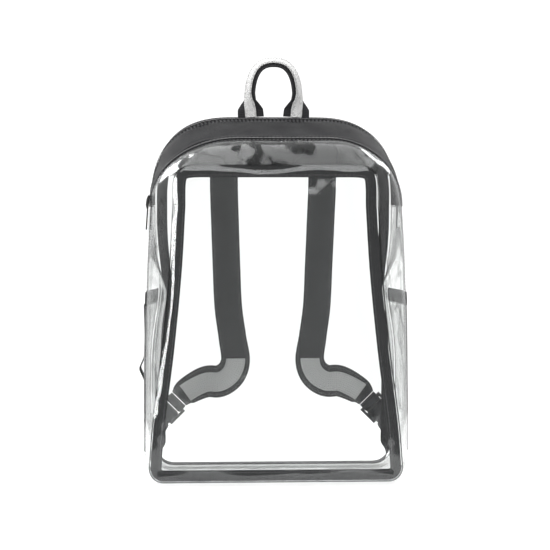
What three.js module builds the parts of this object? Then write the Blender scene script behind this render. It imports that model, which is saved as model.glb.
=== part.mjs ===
// A clear stadium backpack standing on its flat bottom, in millimetres.
// +Z is up and the front faces -Y. The front zip line lies in the plane y = 0 before the bag is centred.
import * as THREE from "three";

// Body, seam to seam
const BACK_HEIGHT = 361;
const BACK_WIDTH = 252;
const ZIP_HEIGHT = 334;
const ZIP_WIDTH = 260;
const FRONT_HEIGHT = 310;
const FRONT_WIDTH = 248;
const FRONT_SHIFT = -2; // the front panel's middle, to the right of the bag's
const SHOULDER_HEIGHT = 270; // where the clear sides end and the black top begins
const MAIN_DEPTH = 73; // front zip line to back seam
const FRONT_DEPTH = 44; // front seam to front zip line, at the floor
const FRONT_LEAN = 12; // how far the front seam's top leans back
const FRONT_RISE = 3.5; // height of the front panel's bottom seam over the floor
const FRONT_CROWN = 4;
const BACK_CROWN = 3;

// Thicknesses and clearances
const SHEET = 1;
const CLOTH = 1.2;
const WEBBING = 1.4;
const GAP = 0.3;

// Bindings, zips, yoke
const BINDING_WIDTH = 10.5;
const BINDING_TURN = { low: 3, high: 26 }; // heights between which the back binding turns upright
const YOKE_DROP = 59; // top seam of the back down to the yoke's lower edge
const FRONT_TAPE = 9;
const REAR_TAPE = 21;
const COIL_WIDTH = 5;
const COIL_HEIGHT = 1.2;
const COIL_RIM = 0.5; // height of a coil's edge as a share of its middle's
const SLIDER = { length: 10, crest: 6, heel: 4, width: 8, height: 2.8, front: 1.7, pull: 24, sheet: 1.2 };

// Side pockets
const POCKET_HEIGHT = 185;
const POCKET_HEM = 27; // height of the pocket's bottom seam
const POCKET_BAND = 13.5;
const POCKET_BULGE = 2.5; // how far the pocket's middle stands out from the seams
const POCKET_DENT = 11; // how far the side behind the pocket is pressed in
const POCKET_PULL = 7; // how far the elastic draws the back seam in
const POCKET_PULL_REACH = 42;

// Carry handle
const HANDLE_RISE = 58;
const HANDLE_SPREAD = 46.5; // between the middles of its sewn ends
const HANDLE_WIDTH = 27;
const STRIP_WIDTH = 11.5;
const HANDLE_TOP = 3.4; // from the arch's middle line to its outer face
const HANDLE_INSET = 2; // in front of the gusset's rear edge
const HANDLE_BOW = 0.25; // how much wider the arch is than its foot
const HANDLE_ARCH = { across: 0.8, up: 0.9 }; // powers that make the arch squarer than a half circle
const HANDLE_STEPS = { leg: 12, over: 10, across: 4 };
// Rows along the handle: share of its arch, width and thickness of the black webbing as shares of its
// own, and the degrees that its face turns to the front
const HANDLE_FORM = [
  { up: 0, width: 1, thick: 1, turn: 90 },
  { up: 0.07, width: 0.97, thick: 1, turn: 88 },
  { up: 0.13, width: 0.72, thick: 1.6, turn: 70 },
  { up: 0.18, width: 0.54, thick: 2.4, turn: 48 },
  { up: 0.26, width: 0.52, thick: 2.6, turn: 34 },
  { up: 1, width: 0.52, thick: 2.6, turn: 28 },
];

// Shoulder straps
const STRAP_WIDTH = 29;
const STRAP_THICK = 6;
const STRAP_ACROSS = 51; // middle of the bag to the middle of a strap's top end
const STRAP_TUCK = 5; // how far a strap reaches up over the yoke
const STRAP_RIM = 0.45; // thickness of a strap's edge as a share of its middle's
const STRAP_LEAD = 5; // from the end of a strap to its lock
const STRAP_TAPER = 9;
const STRAP_NECK = 1.4; // width where the taper starts, as a share of the webbing's
const STRAP_STEPS = 34;
const LINING_WIDTH = 20;
const LINING_STEPS = [18, 31]; // the steps of a strap between which its lining shows
const LOCK = { width: 27, length: 20.2, thick: 3.6, bar: 3.4, slot: 5 };
const LOCK_HEIGHT = 58;
const LOCK_INSET = 17.5; // from the back's side seam in to the middle of a lock
const LOCK_OFF = 9.5; // behind the back seam
const LOCK_TILT = 45; // degrees, lower end outwards
const LOCK_CLEAR = 2; // from the end of a lock to where its webbing turns
const STRAP_WEBBING = 20;
const TAIL_HEIGHT = 169;
const TAIL_REACH = 10.8; // how far the left tail bows out past the bag's side
const TAIL_OFF = -11; // behind the back seam, at its upper end
const TAIL_EXIT = 4;
const LOOP_TURN = 1;
const ANCHOR_REACH = 14;
const ANCHOR_EDGE = 0.975; // its outer edge, as a share of half the back's width
const ANCHOR_SEAT = { far: 0.4, near: 0.2 }; // where webbing lies on it, as shares of its reach

// Corners of an anchor tab as shares of its reach: inwards from its outer edge, and up over its middle
const ANCHOR_FORM = [
  { inward: 0, up: 1 },
  { inward: 0, up: -1.1 },
  { inward: 0.6, up: -1 },
  { inward: 1, up: -0.3 },
  { inward: 0.8, up: 0.6 },
];

// Rows along a strap's middle line: across as a share of STRAP_ACROSS, up as a share of its top's height,
// off in millimetres behind the back seam, and width as a share of STRAP_WIDTH
const STRAP_ROUTE = [
  { across: 1, up: 1, off: 4.8, width: 1 },
  { across: 1, up: 0.94, off: 7.5, width: 1 },
  { across: 0.98, up: 0.83, off: 13, width: 1 },
  { across: 0.95, up: 0.68, off: 19, width: 1 },
  { across: 0.91, up: 0.53, off: 21, width: 1 },
  { across: 0.83, up: 0.43, off: 20, width: 1 },
  { across: 0.77, up: 0.345, off: 18, width: 1.05 },
  { across: 0.88, up: 0.303, off: 16.5, width: 1.12 },
  { across: 1.1, up: 0.28, off: 14.5, width: 1.16 },
  { across: 1.36, up: 0.28, off: 12, width: 1.16 },
];

// The left strap's free tail: out past the bag's side as a share of TAIL_REACH, and up and deep as
// shares of the way from the lock to TAIL_HEIGHT and TAIL_OFF. turn goes from flat on the back, 0, to
// edge on to it, 90.
const TAIL_ROUTE = [
  { out: -0.3, up: -0.035, deep: -0.14, turn: 30 },
  { out: 0.14, up: -0.052, deep: -0.24, turn: 65 },
  { out: 0.44, up: -0.045, deep: -0.18, turn: 90 },
  { out: 0.55, up: -0.01, deep: 0, turn: 90 },
  { out: 0.55, up: 0.07, deep: 0.26, turn: 90 },
  { out: 0.51, up: 0.18, deep: 0.62, turn: 90 },
  { out: 0.48, up: 0.29, deep: 0.92, turn: 90 },
  { out: 0.51, up: 0.37, deep: 1, turn: 90 },
  { out: 1, up: 0.465, deep: 1, turn: 90 },
  { out: 0.52, up: 0.56, deep: 1, turn: 90 },
  { out: 0.46, up: 0.75, deep: 1, turn: 90 },
  { out: 0.49, up: 1, deep: 1, turn: 90 },
];

// The right strap's free tail, folded back over its lock: past the lock's end, and off its middle
const TAIL_FOLD = [
  { past: 6, off: 1 },
  { past: 6.6, off: 3.4 },
  { past: 4, off: 5.8 },
  { past: -6, off: 6.2 },
  { past: -16, off: 6.6 },
];

// Side lines of the seams: half width as a share of the seam's own, by share of the shoulder height
const FRONT_SIDE = [
  { up: 0, half: 1 },
  { up: 0.17, half: 0.975 },
  { up: 0.51, half: 0.885 },
  { up: 0.8, half: 0.825 },
  { up: 1, half: 0.8 },
];
const ZIP_SIDE = [
  { up: 0, half: 1 },
  { up: 0.33, half: 0.995 },
  { up: 0.66, half: 0.983 },
  { up: 0.85, half: 0.968 },
  { up: 1, half: 0.95 },
];
const BACK_SIDE = [
  { up: 0, half: 0.99 },
  { up: 0.37, half: 1 },
  { up: 1, half: 0.975 },
];

// Seam outlines: corner is the bottom radius, run and rise the top corners, bend their squareness
const FRONT_SEAM = {
  half: FRONT_WIDTH / 2,
  shift: FRONT_SHIFT,
  top: FRONT_HEIGHT,
  base: FRONT_RISE,
  corner: 14,
  run: { left: 40, right: 40 },
  bend: 5.2,
  side: FRONT_SIDE,
};
const ZIP_SEAM = {
  half: ZIP_WIDTH / 2,
  shift: 0,
  top: ZIP_HEIGHT,
  base: 0,
  corner: 24,
  run: { left: 88, right: 72 },
  bend: 2,
  side: ZIP_SIDE,
};
const BACK_SEAM = {
  half: BACK_WIDTH / 2,
  shift: 0,
  top: BACK_HEIGHT,
  base: 0,
  corner: 22,
  run: { left: 85, right: 85 },
  bend: 2.7,
  side: BACK_SIDE,
};

// How far the side gusset's middle stands out, as a share of its full bulge or dent, by share of height
const GUSSET_BULGE = 3;
const SIDE_FORM = [
  { up: 0, bulge: 0, dent: 0 },
  { up: 0.05, bulge: 0, dent: 0 },
  { up: 0.16, bulge: 0, dent: 0.55 },
  { up: 0.35, bulge: 0, dent: 0.9 },
  { up: 0.68, bulge: 0, dent: 1 },
  { up: 0.8, bulge: 0.4, dent: 0.2 },
  { up: 0.9, bulge: 0.9, dent: 0 },
  { up: 1, bulge: 1, dent: 0 },
];

const GUSSET_ROUNDING = 1.9; // how soon the front gusset widens from the front seam to the zip line
const REAR_EDGE = MAIN_DEPTH - SHEET - GAP; // where the gusset ends, in front of the back panel

const SIDES = [
  ["left", -1],
  ["right", 1],
];

// Steps round the outlines, over the panels and along the depth of the bands
const BOTTOM_STEPS = 3;
const CORNER_STEPS = 4;
const SIDE_STEPS = 8;
const ARCH_STEPS = 8;
const TOP_STEPS = 3;
const PANEL_COLUMNS = 6;
const FRONT_GUSSET_ROWS = [0, 0.2, 0.45, 0.7, 1];
const BAND_STEPS = { frontTape: 1, rearTape: 2, nylon: 3, side: 6, coil: 2 };
const POCKET_STEPS = { deep: 6, high: 7 };
const LEAST_MITER = 0.6;

const group = new THREE.Group();

const FINISHES = {
  clear: { color: 0xe9eeec, roughness: 0.08, metalness: 0, transparent: true, opacity: 0.3 },
  nylon: { color: 0x2b2c2e, roughness: 0.75, metalness: 0 },
  tape: { color: 0x242527, roughness: 0.8, metalness: 0 },
  grey: { color: 0xa9a9a9, roughness: 0.85, metalness: 0 },
  plastic: { color: 0x151517, roughness: 0.4, metalness: 0 },
};

// A named mesh of one closed body, turned so that its faces point out.
function piece(name, finish, { points, faces }) {
  let volume = 0;
  for (const [a, b, c] of faces) {
    volume += points[a].dot(new THREE.Vector3().crossVectors(points[b], points[c]));
  }
  const index = faces.flatMap(([a, b, c]) => (volume < 0 ? [a, c, b] : [a, b, c]));
  const geometry = new THREE.BufferGeometry().setFromPoints(points).setIndex(index);
  geometry.computeVertexNormals();
  const mesh = new THREE.Mesh(geometry, new THREE.MeshStandardMaterial(FINISHES[finish]));
  mesh.name = name;
  group.add(mesh);
  return mesh;
}

const vector = (x, y, z) => new THREE.Vector3(x, y, z);
const lerp = THREE.MathUtils.lerp;
const radians = THREE.MathUtils.degToRad;
const steps = (count) => Array.from({ length: count + 1 }, (_, i) => i / count);

// The value of a table's column at a share of height, on straight lines between the rows.
function fromTable(table, column, up) {
  const at = THREE.MathUtils.clamp(up, 0, 1);
  const next = Math.max(
    1,
    table.findIndex((row) => row.up >= at),
  );
  const [low, high] = [table[next - 1], table[next]];
  return lerp(low[column], high[column], (at - low.up) / (high.up - low.up));
}

const sideHalf = (seam, z) => seam.half * fromTable(seam.side, "half", z / SHOULDER_HEIGHT);

// Half the width of a seam's outline at a height, on one side.
function halfAt(seam, z, side = "right") {
  if (z > SHOULDER_HEIGHT) {
    const rise = Math.min(1, (z - SHOULDER_HEIGHT) / (seam.top - SHOULDER_HEIGHT));
    const run = seam.run[side];
    return sideHalf(seam, SHOULDER_HEIGHT) - run + run * (1 - rise ** seam.bend) ** (1 / seam.bend);
  }
  const below = Math.max(0, seam.base + seam.corner - z);
  const arc = seam.corner - Math.sqrt(seam.corner ** 2 - Math.min(below, seam.corner) ** 2);
  return sideHalf(seam, Math.max(z, seam.base + seam.corner)) - arc;
}

// Points [x, z] of half an outline: from the middle of the bottom up to the shoulder.
function lowerHalf(seam) {
  const start = seam.base + seam.corner;
  const hip = sideHalf(seam, start) - seam.corner;
  const bottom = steps(BOTTOM_STEPS).map((t) => [hip * t, seam.base]);
  const corner = steps(CORNER_STEPS)
    .slice(1)
    .map((t) => (t * Math.PI) / 2)
    .map((a) => [hip + seam.corner * Math.sin(a), start - seam.corner * Math.cos(a)]);
  const side = steps(SIDE_STEPS)
    .slice(1)
    .map((t) => lerp(start, SHOULDER_HEIGHT, t))
    .map((z) => [sideHalf(seam, z), z]);
  return [...bottom, ...corner, ...side];
}

// Points [x, z] of half an outline: from just over the shoulder to the middle of the top.
function upperHalf(seam, sideName) {
  const run = seam.run[sideName];
  const rise = seam.top - SHOULDER_HEIGHT;
  const inner = sideHalf(seam, SHOULDER_HEIGHT) - run;
  const arch = steps(ARCH_STEPS)
    .map((t) => (t * Math.PI) / 2)
    .map((a) => [
      inner + run * Math.cos(a) ** (2 / seam.bend),
      SHOULDER_HEIGHT + Math.max(GAP, rise * Math.sin(a) ** (2 / seam.bend)),
    ]);
  const top = steps(TOP_STEPS)
    .slice(1)
    .map((t) => [inner * (1 - t), seam.top]);
  return [...arch, ...top];
}

const mirrored = (points) => points.map(([x, z]) => [-x, z]);
const shifted = (points, { shift }) => points.map(([x, z]) => [x + shift, z]);

// The U below the shoulders and the arch over them, both running left, bottom, right or right, top, left.
const lowerOutline = (seam) =>
  shifted([...mirrored(lowerHalf(seam)).reverse().slice(0, -1), ...lowerHalf(seam)], seam);
const upperOutline = (seam) =>
  shifted(
    [...upperHalf(seam, "right"), ...mirrored(upperHalf(seam, "left")).reverse().slice(1)],
    seam,
  );
const wholeOutline = (seam) => [...lowerOutline(seam), ...upperOutline(seam)];

// Unit directions out of an outline that runs anticlockwise as seen from the front.
function outwards(points, closed) {
  return points.map((_, i) => {
    const last = points.length - 1;
    const before = points[i > 0 ? i - 1 : closed ? last : 0];
    const after = points[i < last ? i + 1 : closed ? 0 : last];
    const [dx, dz] = [after[0] - before[0], after[1] - before[1]];
    const length = Math.hypot(dx, dz);
    return [dz / length, -dx / length];
  });
}

// The pull of the pocket mouths' elastic: the sides draw in at that height, most at the back.
function softened(point) {
  const back = THREE.MathUtils.smoothstep(point.y, 0, MAIN_DEPTH);
  const reach = Math.exp(-(((point.z - POCKET_HEIGHT) / POCKET_PULL_REACH) ** 2));
  point.x *= 1 - (POCKET_PULL * back * reach) / (BACK_WIDTH / 2);
  return point;
}

// A wall between a face and the same face moved by its thickness.
// rows is a grid of points, and shift gives the way that each point moves.
function wall(rows, shift, closed = false) {
  const across = rows[0].length;
  const outer = rows.flat();
  const inner = rows.flatMap((row, i) => row.map((p, j) => p.clone().add(shift(i, j, p))));
  const points = [...outer, ...inner].map(softened);
  const faces = [];
  const at = (i, j) => i * across + (j % across);
  const quad = (a, b, c, d) => faces.push([a, b, c], [a, c, d]);
  const columns = closed ? across : across - 1;
  const depth = outer.length;
  for (let i = 0; i < rows.length - 1; i++) {
    for (let j = 0; j < columns; j++) {
      const cell = [at(i, j), at(i, j + 1), at(i + 1, j + 1), at(i + 1, j)];
      quad(...cell);
      quad(...cell.map((k) => k + depth).reverse());
    }
  }
  const border = (a, b) => quad(b, a, a + depth, b + depth);
  for (let j = 0; j < columns; j++) {
    border(at(0, j), at(0, j + 1));
    border(at(rows.length - 1, j + 1), at(rows.length - 1, j));
  }
  for (let i = 0; !closed && i < rows.length - 1; i++) {
    border(at(i + 1, 0), at(i, 0));
    border(at(i, across - 1), at(i + 1, across - 1));
  }
  return { points, faces };
}

// The wall of a band of the bag's side: its inner face lies inwards, square to it but level at its rims.
function bandWall(rows, thickness, closed = false) {
  const last = rows.length - 1;
  const shift = (i, j) => {
    const row = rows[i];
    const count = row.length;
    const before = row[j > 0 ? j - 1 : closed ? count - 1 : 0];
    const after = row[j < count - 1 ? j + 1 : closed ? 0 : count - 1];
    const along = after.clone().sub(before);
    const deep = rows[Math.min(i + 1, last)][j].clone().sub(rows[Math.max(i - 1, 0)][j]);
    const inward = new THREE.Vector3().crossVectors(deep, along);
    if (i === 0 || i === last) inward.y = 0;
    return inward.normalize().multiplyScalar(-thickness);
  };
  return wall(rows, shift, closed);
}

const frontY = (z) => -FRONT_DEPTH + (FRONT_LEAN * z) / FRONT_HEIGHT;

// How far a panel's middle stands out of its seam's plane at a point.
function crown(seam, height, x, z) {
  const side = Math.max(0, 1 - ((x - seam.shift) / halfAt(seam, z)) ** 2);
  const middle = (seam.top + seam.base) / 2;
  return height * side * (1 - ((z - middle) / (middle - seam.base)) ** 2);
}
const frontFace = (x, z) => frontY(z) - crown(FRONT_SEAM, FRONT_CROWN, x, z);
const backFace = (x, z) => MAIN_DEPTH + crown(BACK_SEAM, BACK_CROWN, x, z);

// The heights at which a panel is cut into rows, from its bottom seam to its top one.
function panelHeights(seam) {
  const right = [...lowerHalf(seam).slice(BOTTOM_STEPS), ...upperHalf(seam, "right").slice(1)];
  return right.slice(0, right.length - TOP_STEPS).map(([, z]) => z);
}

// A crowned panel within a seam, between two heights.
function panel(seam, faceY, thickness, low = seam.base, high = seam.top) {
  const between = panelHeights(seam).filter((z) => z > low + 1 && z < high - 1);
  const rows = [low, ...between, high].map((z) =>
    steps(PANEL_COLUMNS).map((t) => {
      const x = seam.shift + lerp(-1, 1, t) * halfAt(seam, z);
      return vector(x, faceY(x, z), z);
    }),
  );
  return wall(rows, () => vector(0, thickness, 0));
}

// A tape that follows a seam inside the bag. It lies on the panel, and where lay falls to 0 it is
// turned onto the bag's bottom instead, reaching forwards from the panel.
function binding(seam, edge, faceY, lay = () => 1) {
  const outline = wholeOutline(seam);
  const out = outwards(outline, true);
  const shares = outline.map(([, z]) => lay(z));
  const rows = [0, BINDING_WIDTH].map((width) =>
    outline.map(([x, z], i) => {
      const reach = edge + width * shares[i];
      const [px, pz] = [x - out[i][0] * reach, z - out[i][1] * reach];
      return vector(px, faceY(px, pz) - width * (1 - shares[i]), pz);
    }),
  );
  const shift = (i, j) => {
    const flat = CLOTH * (1 - shares[j]);
    return vector(-out[j][0] * flat, CLOTH * shares[j], -out[j][1] * flat);
  };
  return wall(rows, shift, true);
}

// Points of the gusset between the front seam and the front zip line, by share from front to back.
function frontGussetRows(shares) {
  const [front, zip] = [wholeOutline(FRONT_SEAM), wholeOutline(ZIP_SEAM)];
  return shares.map((t) =>
    front.map(([x, z], i) => {
      const still = (1 - t) ** GUSSET_ROUNDING;
      const start = frontY(z) + SHEET + GAP;
      return vector(lerp(zip[i][0], x, still), lerp(start, 0, t), lerp(zip[i][1], z, still));
    }),
  );
}

// Points of the gusset between the front zip line and the back seam, by depth behind the zip line.
function mainGussetRows(outlineOf, depths, form) {
  const [zip, back] = [outlineOf(ZIP_SEAM), outlineOf(BACK_SEAM)];
  const out = outwards(zip, false);
  return depths.map((y) => {
    const share = y / MAIN_DEPTH;
    return zip.map(([x, z], i) => {
      const height = lerp(z, back[i][1], share);
      const push = Math.sin(Math.PI * share) * form(height);
      return vector(
        lerp(x, back[i][0], share) + out[i][0] * push,
        y,
        height + out[i][1] * push * Math.sign(Math.max(0, z - SHOULDER_HEIGHT)),
      );
    });
  });
}

const sideForm = (z) =>
  GUSSET_BULGE * fromTable(SIDE_FORM, "bulge", z / SHOULDER_HEIGHT) -
  POCKET_DENT * fromTable(SIDE_FORM, "dent", z / SHOULDER_HEIGHT);
const topForm = () => GUSSET_BULGE;

const depthsBetween = (from, to, count) => steps(count).map((t) => lerp(from, to, t));
const topRows = (from, to, count) =>
  mainGussetRows(upperOutline, depthsBetween(from, to, count), topForm);

function addShell() {
  piece("front_panel", "clear", panel(FRONT_SEAM, frontFace, SHEET));
  const frontTape = (x, z) => frontFace(x, z) + SHEET + 2 * GAP;
  piece("front_binding", "tape", binding(FRONT_SEAM, SHEET + 2 * GAP, frontTape));
  piece("front_gusset", "clear", bandWall(frontGussetRows(FRONT_GUSSET_ROWS), SHEET, true));

  const middle = [FRONT_TAPE + GAP, REAR_EDGE - REAR_TAPE - GAP];
  piece("front_zipper", "tape", bandWall(topRows(GAP, FRONT_TAPE, BAND_STEPS.frontTape), CLOTH));
  piece("top_gusset", "nylon", bandWall(topRows(...middle, BAND_STEPS.nylon), CLOTH));
  const rearTape = topRows(REAR_EDGE - REAR_TAPE, REAR_EDGE, BAND_STEPS.rearTape);
  piece("rear_zipper", "tape", bandWall(rearTape, CLOTH));

  const sideDepths = depthsBetween(GAP, REAR_EDGE, BAND_STEPS.side);
  const sides = mainGussetRows(lowerOutline, sideDepths, sideForm);
  piece("side_gusset", "clear", bandWall(sides, SHEET));

  const yokeEdge = BACK_HEIGHT - YOKE_DROP;
  piece("back_panel", "clear", panel(BACK_SEAM, backFace, -SHEET, BACK_SEAM.base, yokeEdge - GAP));
  piece("back_yoke", "nylon", panel(BACK_SEAM, backFace, -SHEET, yokeEdge));
  const backTape = (x, z) => backFace(x, z) - SHEET - 2 * GAP - CLOTH;
  const lay = (z) => THREE.MathUtils.smoothstep(z, BINDING_TURN.low, BINDING_TURN.high);
  piece("back_binding", "tape", binding(BACK_SEAM, SHEET + 6 * GAP, backTape, lay));
}

// A zip coil: a low ridge that runs along the middle of its tape, over the arch.
function coil(middle) {
  const rows = topRows(middle - COIL_WIDTH / 2, middle + COIL_WIDTH / 2, BAND_STEPS.coil);
  const lifted = rows.map((row, i) => {
    const out = outwards(
      row.map((p) => [p.x, p.z]),
      false,
    );
    const lift = GAP + COIL_HEIGHT * (i === 1 ? 1 : COIL_RIM);
    return row.map((p, j) => vector(p.x + out[j][0] * lift, p.y, p.z + out[j][1] * lift));
  });
  const foot = (i, j) =>
    vector(rows[i][j].x - lifted[i][j].x, 0, rows[i][j].z - lifted[i][j].z).multiplyScalar(
      1 - GAP / lifted[i][j].distanceTo(rows[i][j]),
    );
  return wall(lifted, foot);
}

// A zip slider on its coil, with its pull lying along the gusset towards the floor.
function slider(name, depth, sideName) {
  const sign = sideName === "left" ? -1 : 1;
  const row = topRows(depth, depth + 1, 1)[0];
  const at = sign > 0 ? row[0] : row[row.length - 1];
  const next = sign > 0 ? row[1] : row[row.length - 2];
  const up = next.clone().sub(at).normalize();
  const out = vector(sign * up.z, 0, -sign * up.x);
  const seat = GAP + COIL_HEIGHT + GAP;
  const { length, crest, heel, height, front, pull, sheet, width } = SLIDER;
  const outline = [
    [length, 0],
    [length, front],
    [crest, height],
    [0, height],
    [-heel, sheet],
    [-pull, sheet - COIL_HEIGHT],
    [-pull, -COIL_HEIGHT],
    [-heel, 0],
  ];
  const sections = [-1, 1].map((half) =>
    outline.map(([along, high]) =>
      at
        .clone()
        .addScaledVector(up, along)
        .addScaledVector(out, seat + high)
        .add(vector(0, (half * width) / 2, 0)),
    ),
  );
  piece(name, "plastic", swept(sections));
}

// A solid through sections that hold the same number of points, with flat ends.
function swept(sections) {
  const count = sections[0].length;
  const points = sections.flat();
  const faces = [];
  for (let s = 0; s < sections.length - 1; s++) {
    for (let k = 0; k < count; k++) {
      const [a, b] = [s * count + k, s * count + ((k + 1) % count)];
      faces.push([a, b, b + count], [a, b + count, a + count]);
    }
  }
  const last = (sections.length - 1) * count;
  const ends = THREE.ShapeUtils.triangulateShape(flattened(sections[0]), []);
  const start = new THREE.Vector3();
  for (const [a, b, c] of ends) {
    start.add(
      new THREE.Vector3().crossVectors(
        points[b].clone().sub(points[a]),
        points[c].clone().sub(points[a]),
      ),
    );
  }
  const ring = new THREE.Vector3();
  for (let k = 0; k < count; k++) {
    ring.add(new THREE.Vector3().crossVectors(points[k], points[(k + 1) % count]));
  }
  const same = start.dot(ring) > 0;
  for (const [a, b, c] of ends) {
    faces.push(same ? [a, c, b] : [a, b, c]);
    faces.push(same ? [last + a, last + b, last + c] : [last + a, last + c, last + b]);
  }
  return { points, faces };
}

// A flat section's points in two coordinates of its own plane.
function flattened(section) {
  const right = section[1].clone().sub(section[0]).normalize();
  const normal = new THREE.Vector3();
  section.forEach((p, k) => {
    normal.add(new THREE.Vector3().crossVectors(p, section[(k + 1) % section.length]));
  });
  const up = new THREE.Vector3().crossVectors(normal, right).normalize();
  return section.map((p) => new THREE.Vector2(p.dot(right), p.dot(up)));
}

// The coils of both zips, each along its tape's middle, and their sliders at the closed ends.
function addZips() {
  const frontMiddle = FRONT_TAPE / 2;
  const rearMiddle = REAR_EDGE - REAR_TAPE / 2;
  piece("front_zip_coil", "tape", coil(frontMiddle));
  piece("rear_zip_coil", "tape", coil(rearMiddle));
  slider("front_zip_slider", frontMiddle, "left");
  slider("rear_zip_slider", rearMiddle, "right");
}

// The pocket's face on one side, from seam to seam between two heights.
function pocketWall(sign, low, high, heights) {
  const lift = 2 * GAP;
  const rows = depthsBetween(2 * GAP, REAR_EDGE - 2 * GAP, POCKET_STEPS.deep).map((y) => {
    const share = y / MAIN_DEPTH;
    return steps(heights).map((t) => {
      const z = lerp(low, high, t);
      const edge = lerp(halfAt(ZIP_SEAM, z), halfAt(BACK_SEAM, z), share);
      const open = Math.sin(Math.PI * share) * THREE.MathUtils.smoothstep(z, 0, POCKET_HEIGHT / 2);
      return vector(sign * (edge + lift + SHEET + POCKET_BULGE * open), y, z);
    });
  });
  return wall(rows, () => vector(-sign * SHEET, 0, 0));
}

function addPockets() {
  const band = POCKET_HEIGHT - POCKET_BAND;
  for (const [sideName, sign] of SIDES) {
    piece(`side_pocket_${sideName}`, "clear", pocketWall(sign, POCKET_HEM, band - GAP, POCKET_STEPS.high));
    piece(`pocket_band_${sideName}`, "tape", pocketWall(sign, band, POCKET_HEIGHT, 1));
  }
}

// A point of the handle's middle line: up one leg, over a round top and down the other.
function handlePoint(t) {
  const half = HANDLE_SPREAD / 2;
  const angle = Math.PI * (1 - t);
  const bow = 1 + HANDLE_BOW * Math.sin(angle);
  const x = half * bow * Math.sign(Math.cos(angle)) * Math.abs(Math.cos(angle)) ** HANDLE_ARCH.across;
  const rise = HANDLE_RISE - HANDLE_TOP;
  const z = BACK_HEIGHT + 2 * GAP + rise * Math.sin(angle) ** HANDLE_ARCH.up;
  return vector(x, REAR_EDGE - HANDLE_INSET, z);
}

// Sections of a band along the handle's arch, between two heights over its middle, with a width of its own.
function handleSections(from, to, widthOf) {
  const turning = HANDLE_FORM[HANDLE_FORM.length - 2].up;
  const leg = steps(HANDLE_STEPS.leg).map((t) => t * turning);
  const over = steps(HANDLE_STEPS.over).map((t) => lerp(turning, 1, t));
  const rising = [...leg, ...over.slice(1)].map((up) => up / 2);
  const shares = [...rising, ...rising.slice(0, -1).reverse().map((t) => 1 - t)];
  return shares.map((t) => {
    const up = 2 * Math.min(t, 1 - t);
    const row = Object.fromEntries(
      ["width", "thick", "turn"].map((column) => [column, fromTable(HANDLE_FORM, column, up)]),
    );
    const step = 1e-3;
    const tangent = handlePoint(Math.min(1, t + step)).sub(handlePoint(Math.max(0, t - step)));
    tangent.normalize();
    const out = vector(-tangent.z, 0, tangent.x);
    const turn = radians(row.turn);
    const face = out.clone().multiplyScalar(Math.cos(turn)).add(vector(0, -Math.sin(turn), 0));
    const side = new THREE.Vector3().crossVectors(tangent, face).normalize();
    const middle = handlePoint(t);
    const [low, high] = [from(row), to(row)];
    const width = widthOf(row) / 2;
    const columns = steps(HANDLE_STEPS.across).map((s) => lerp(-width, width, s));
    return [
      ...columns.map((w) => [w, low]),
      ...columns.reverse().map((w) => [w, high]),
    ].map(([w, h]) => middle.clone().addScaledVector(side, w).addScaledVector(face, h));
  });
}

function addHandle() {
  const halfThick = (row) => (WEBBING * row.thick) / 2;
  const black = handleSections(
    (row) => -halfThick(row),
    halfThick,
    (row) => HANDLE_WIDTH * row.width,
  );
  piece("handle_webbing", "nylon", swept(black));
  const grey = handleSections(
    (row) => halfThick(row) + 2 * GAP,
    (row) => halfThick(row) + 2 * GAP + WEBBING,
    () => STRIP_WIDTH,
  );
  piece("handle_strip", "grey", swept(grey));
}

// The frame of a ladder lock: along runs down to the anchor, across over its width, out away from the back.
function lockFrame(sign) {
  const tilt = radians(LOCK_TILT);
  const along = vector(sign * Math.sin(tilt), 0, -Math.cos(tilt));
  const out = vector(0, 1, 0);
  const across = new THREE.Vector3().crossVectors(out, along);
  const middle = vector(sign * (BACK_WIDTH / 2 - LOCK_INSET), MAIN_DEPTH + LOCK_OFF, LOCK_HEIGHT);
  const place = (a, n, w = 0) =>
    middle.clone().addScaledVector(along, a).addScaledVector(out, n).addScaledVector(across, w);
  return { along, out, across, place };
}

// A band through rows of { at, side, width }, with its faces square to its path and its side direction.
// rim is the thickness of its edges as a share of its middle's.
function ribbon(rows, thickness, rim = 1) {
  const sections = rows.map(({ at, side, width }, i) => {
    const before = rows[Math.max(0, i - 1)].at;
    const after = rows[Math.min(rows.length - 1, i + 1)].at;
    const tangent = after.clone().sub(before).normalize();
    const into = at.clone().sub(before).normalize();
    const miter = i > 0 && i < rows.length - 1 ? Math.max(LEAST_MITER, into.dot(tangent)) : 1;
    const normal = new THREE.Vector3().crossVectors(tangent, side).normalize();
    const cross = new THREE.Vector3().crossVectors(normal, tangent).normalize();
    const [w, h] = [width / 2, thickness / 2 / miter];
    const inner = w - thickness / 2;
    const padded = [
      [-w, -h * rim],
      [-inner, -h],
      [inner, -h],
      [w, -h * rim],
    ];
    const plain = [
      [-w, -h],
      [w, -h],
    ];
    const under = rim < 1 ? padded : plain;
    const corners = [...under, ...under.map(([a, b]) => [a, -b]).reverse()];
    return corners.map(([a, b]) => at.clone().addScaledVector(cross, a).addScaledVector(normal, b));
  });
  return swept(sections);
}

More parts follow.
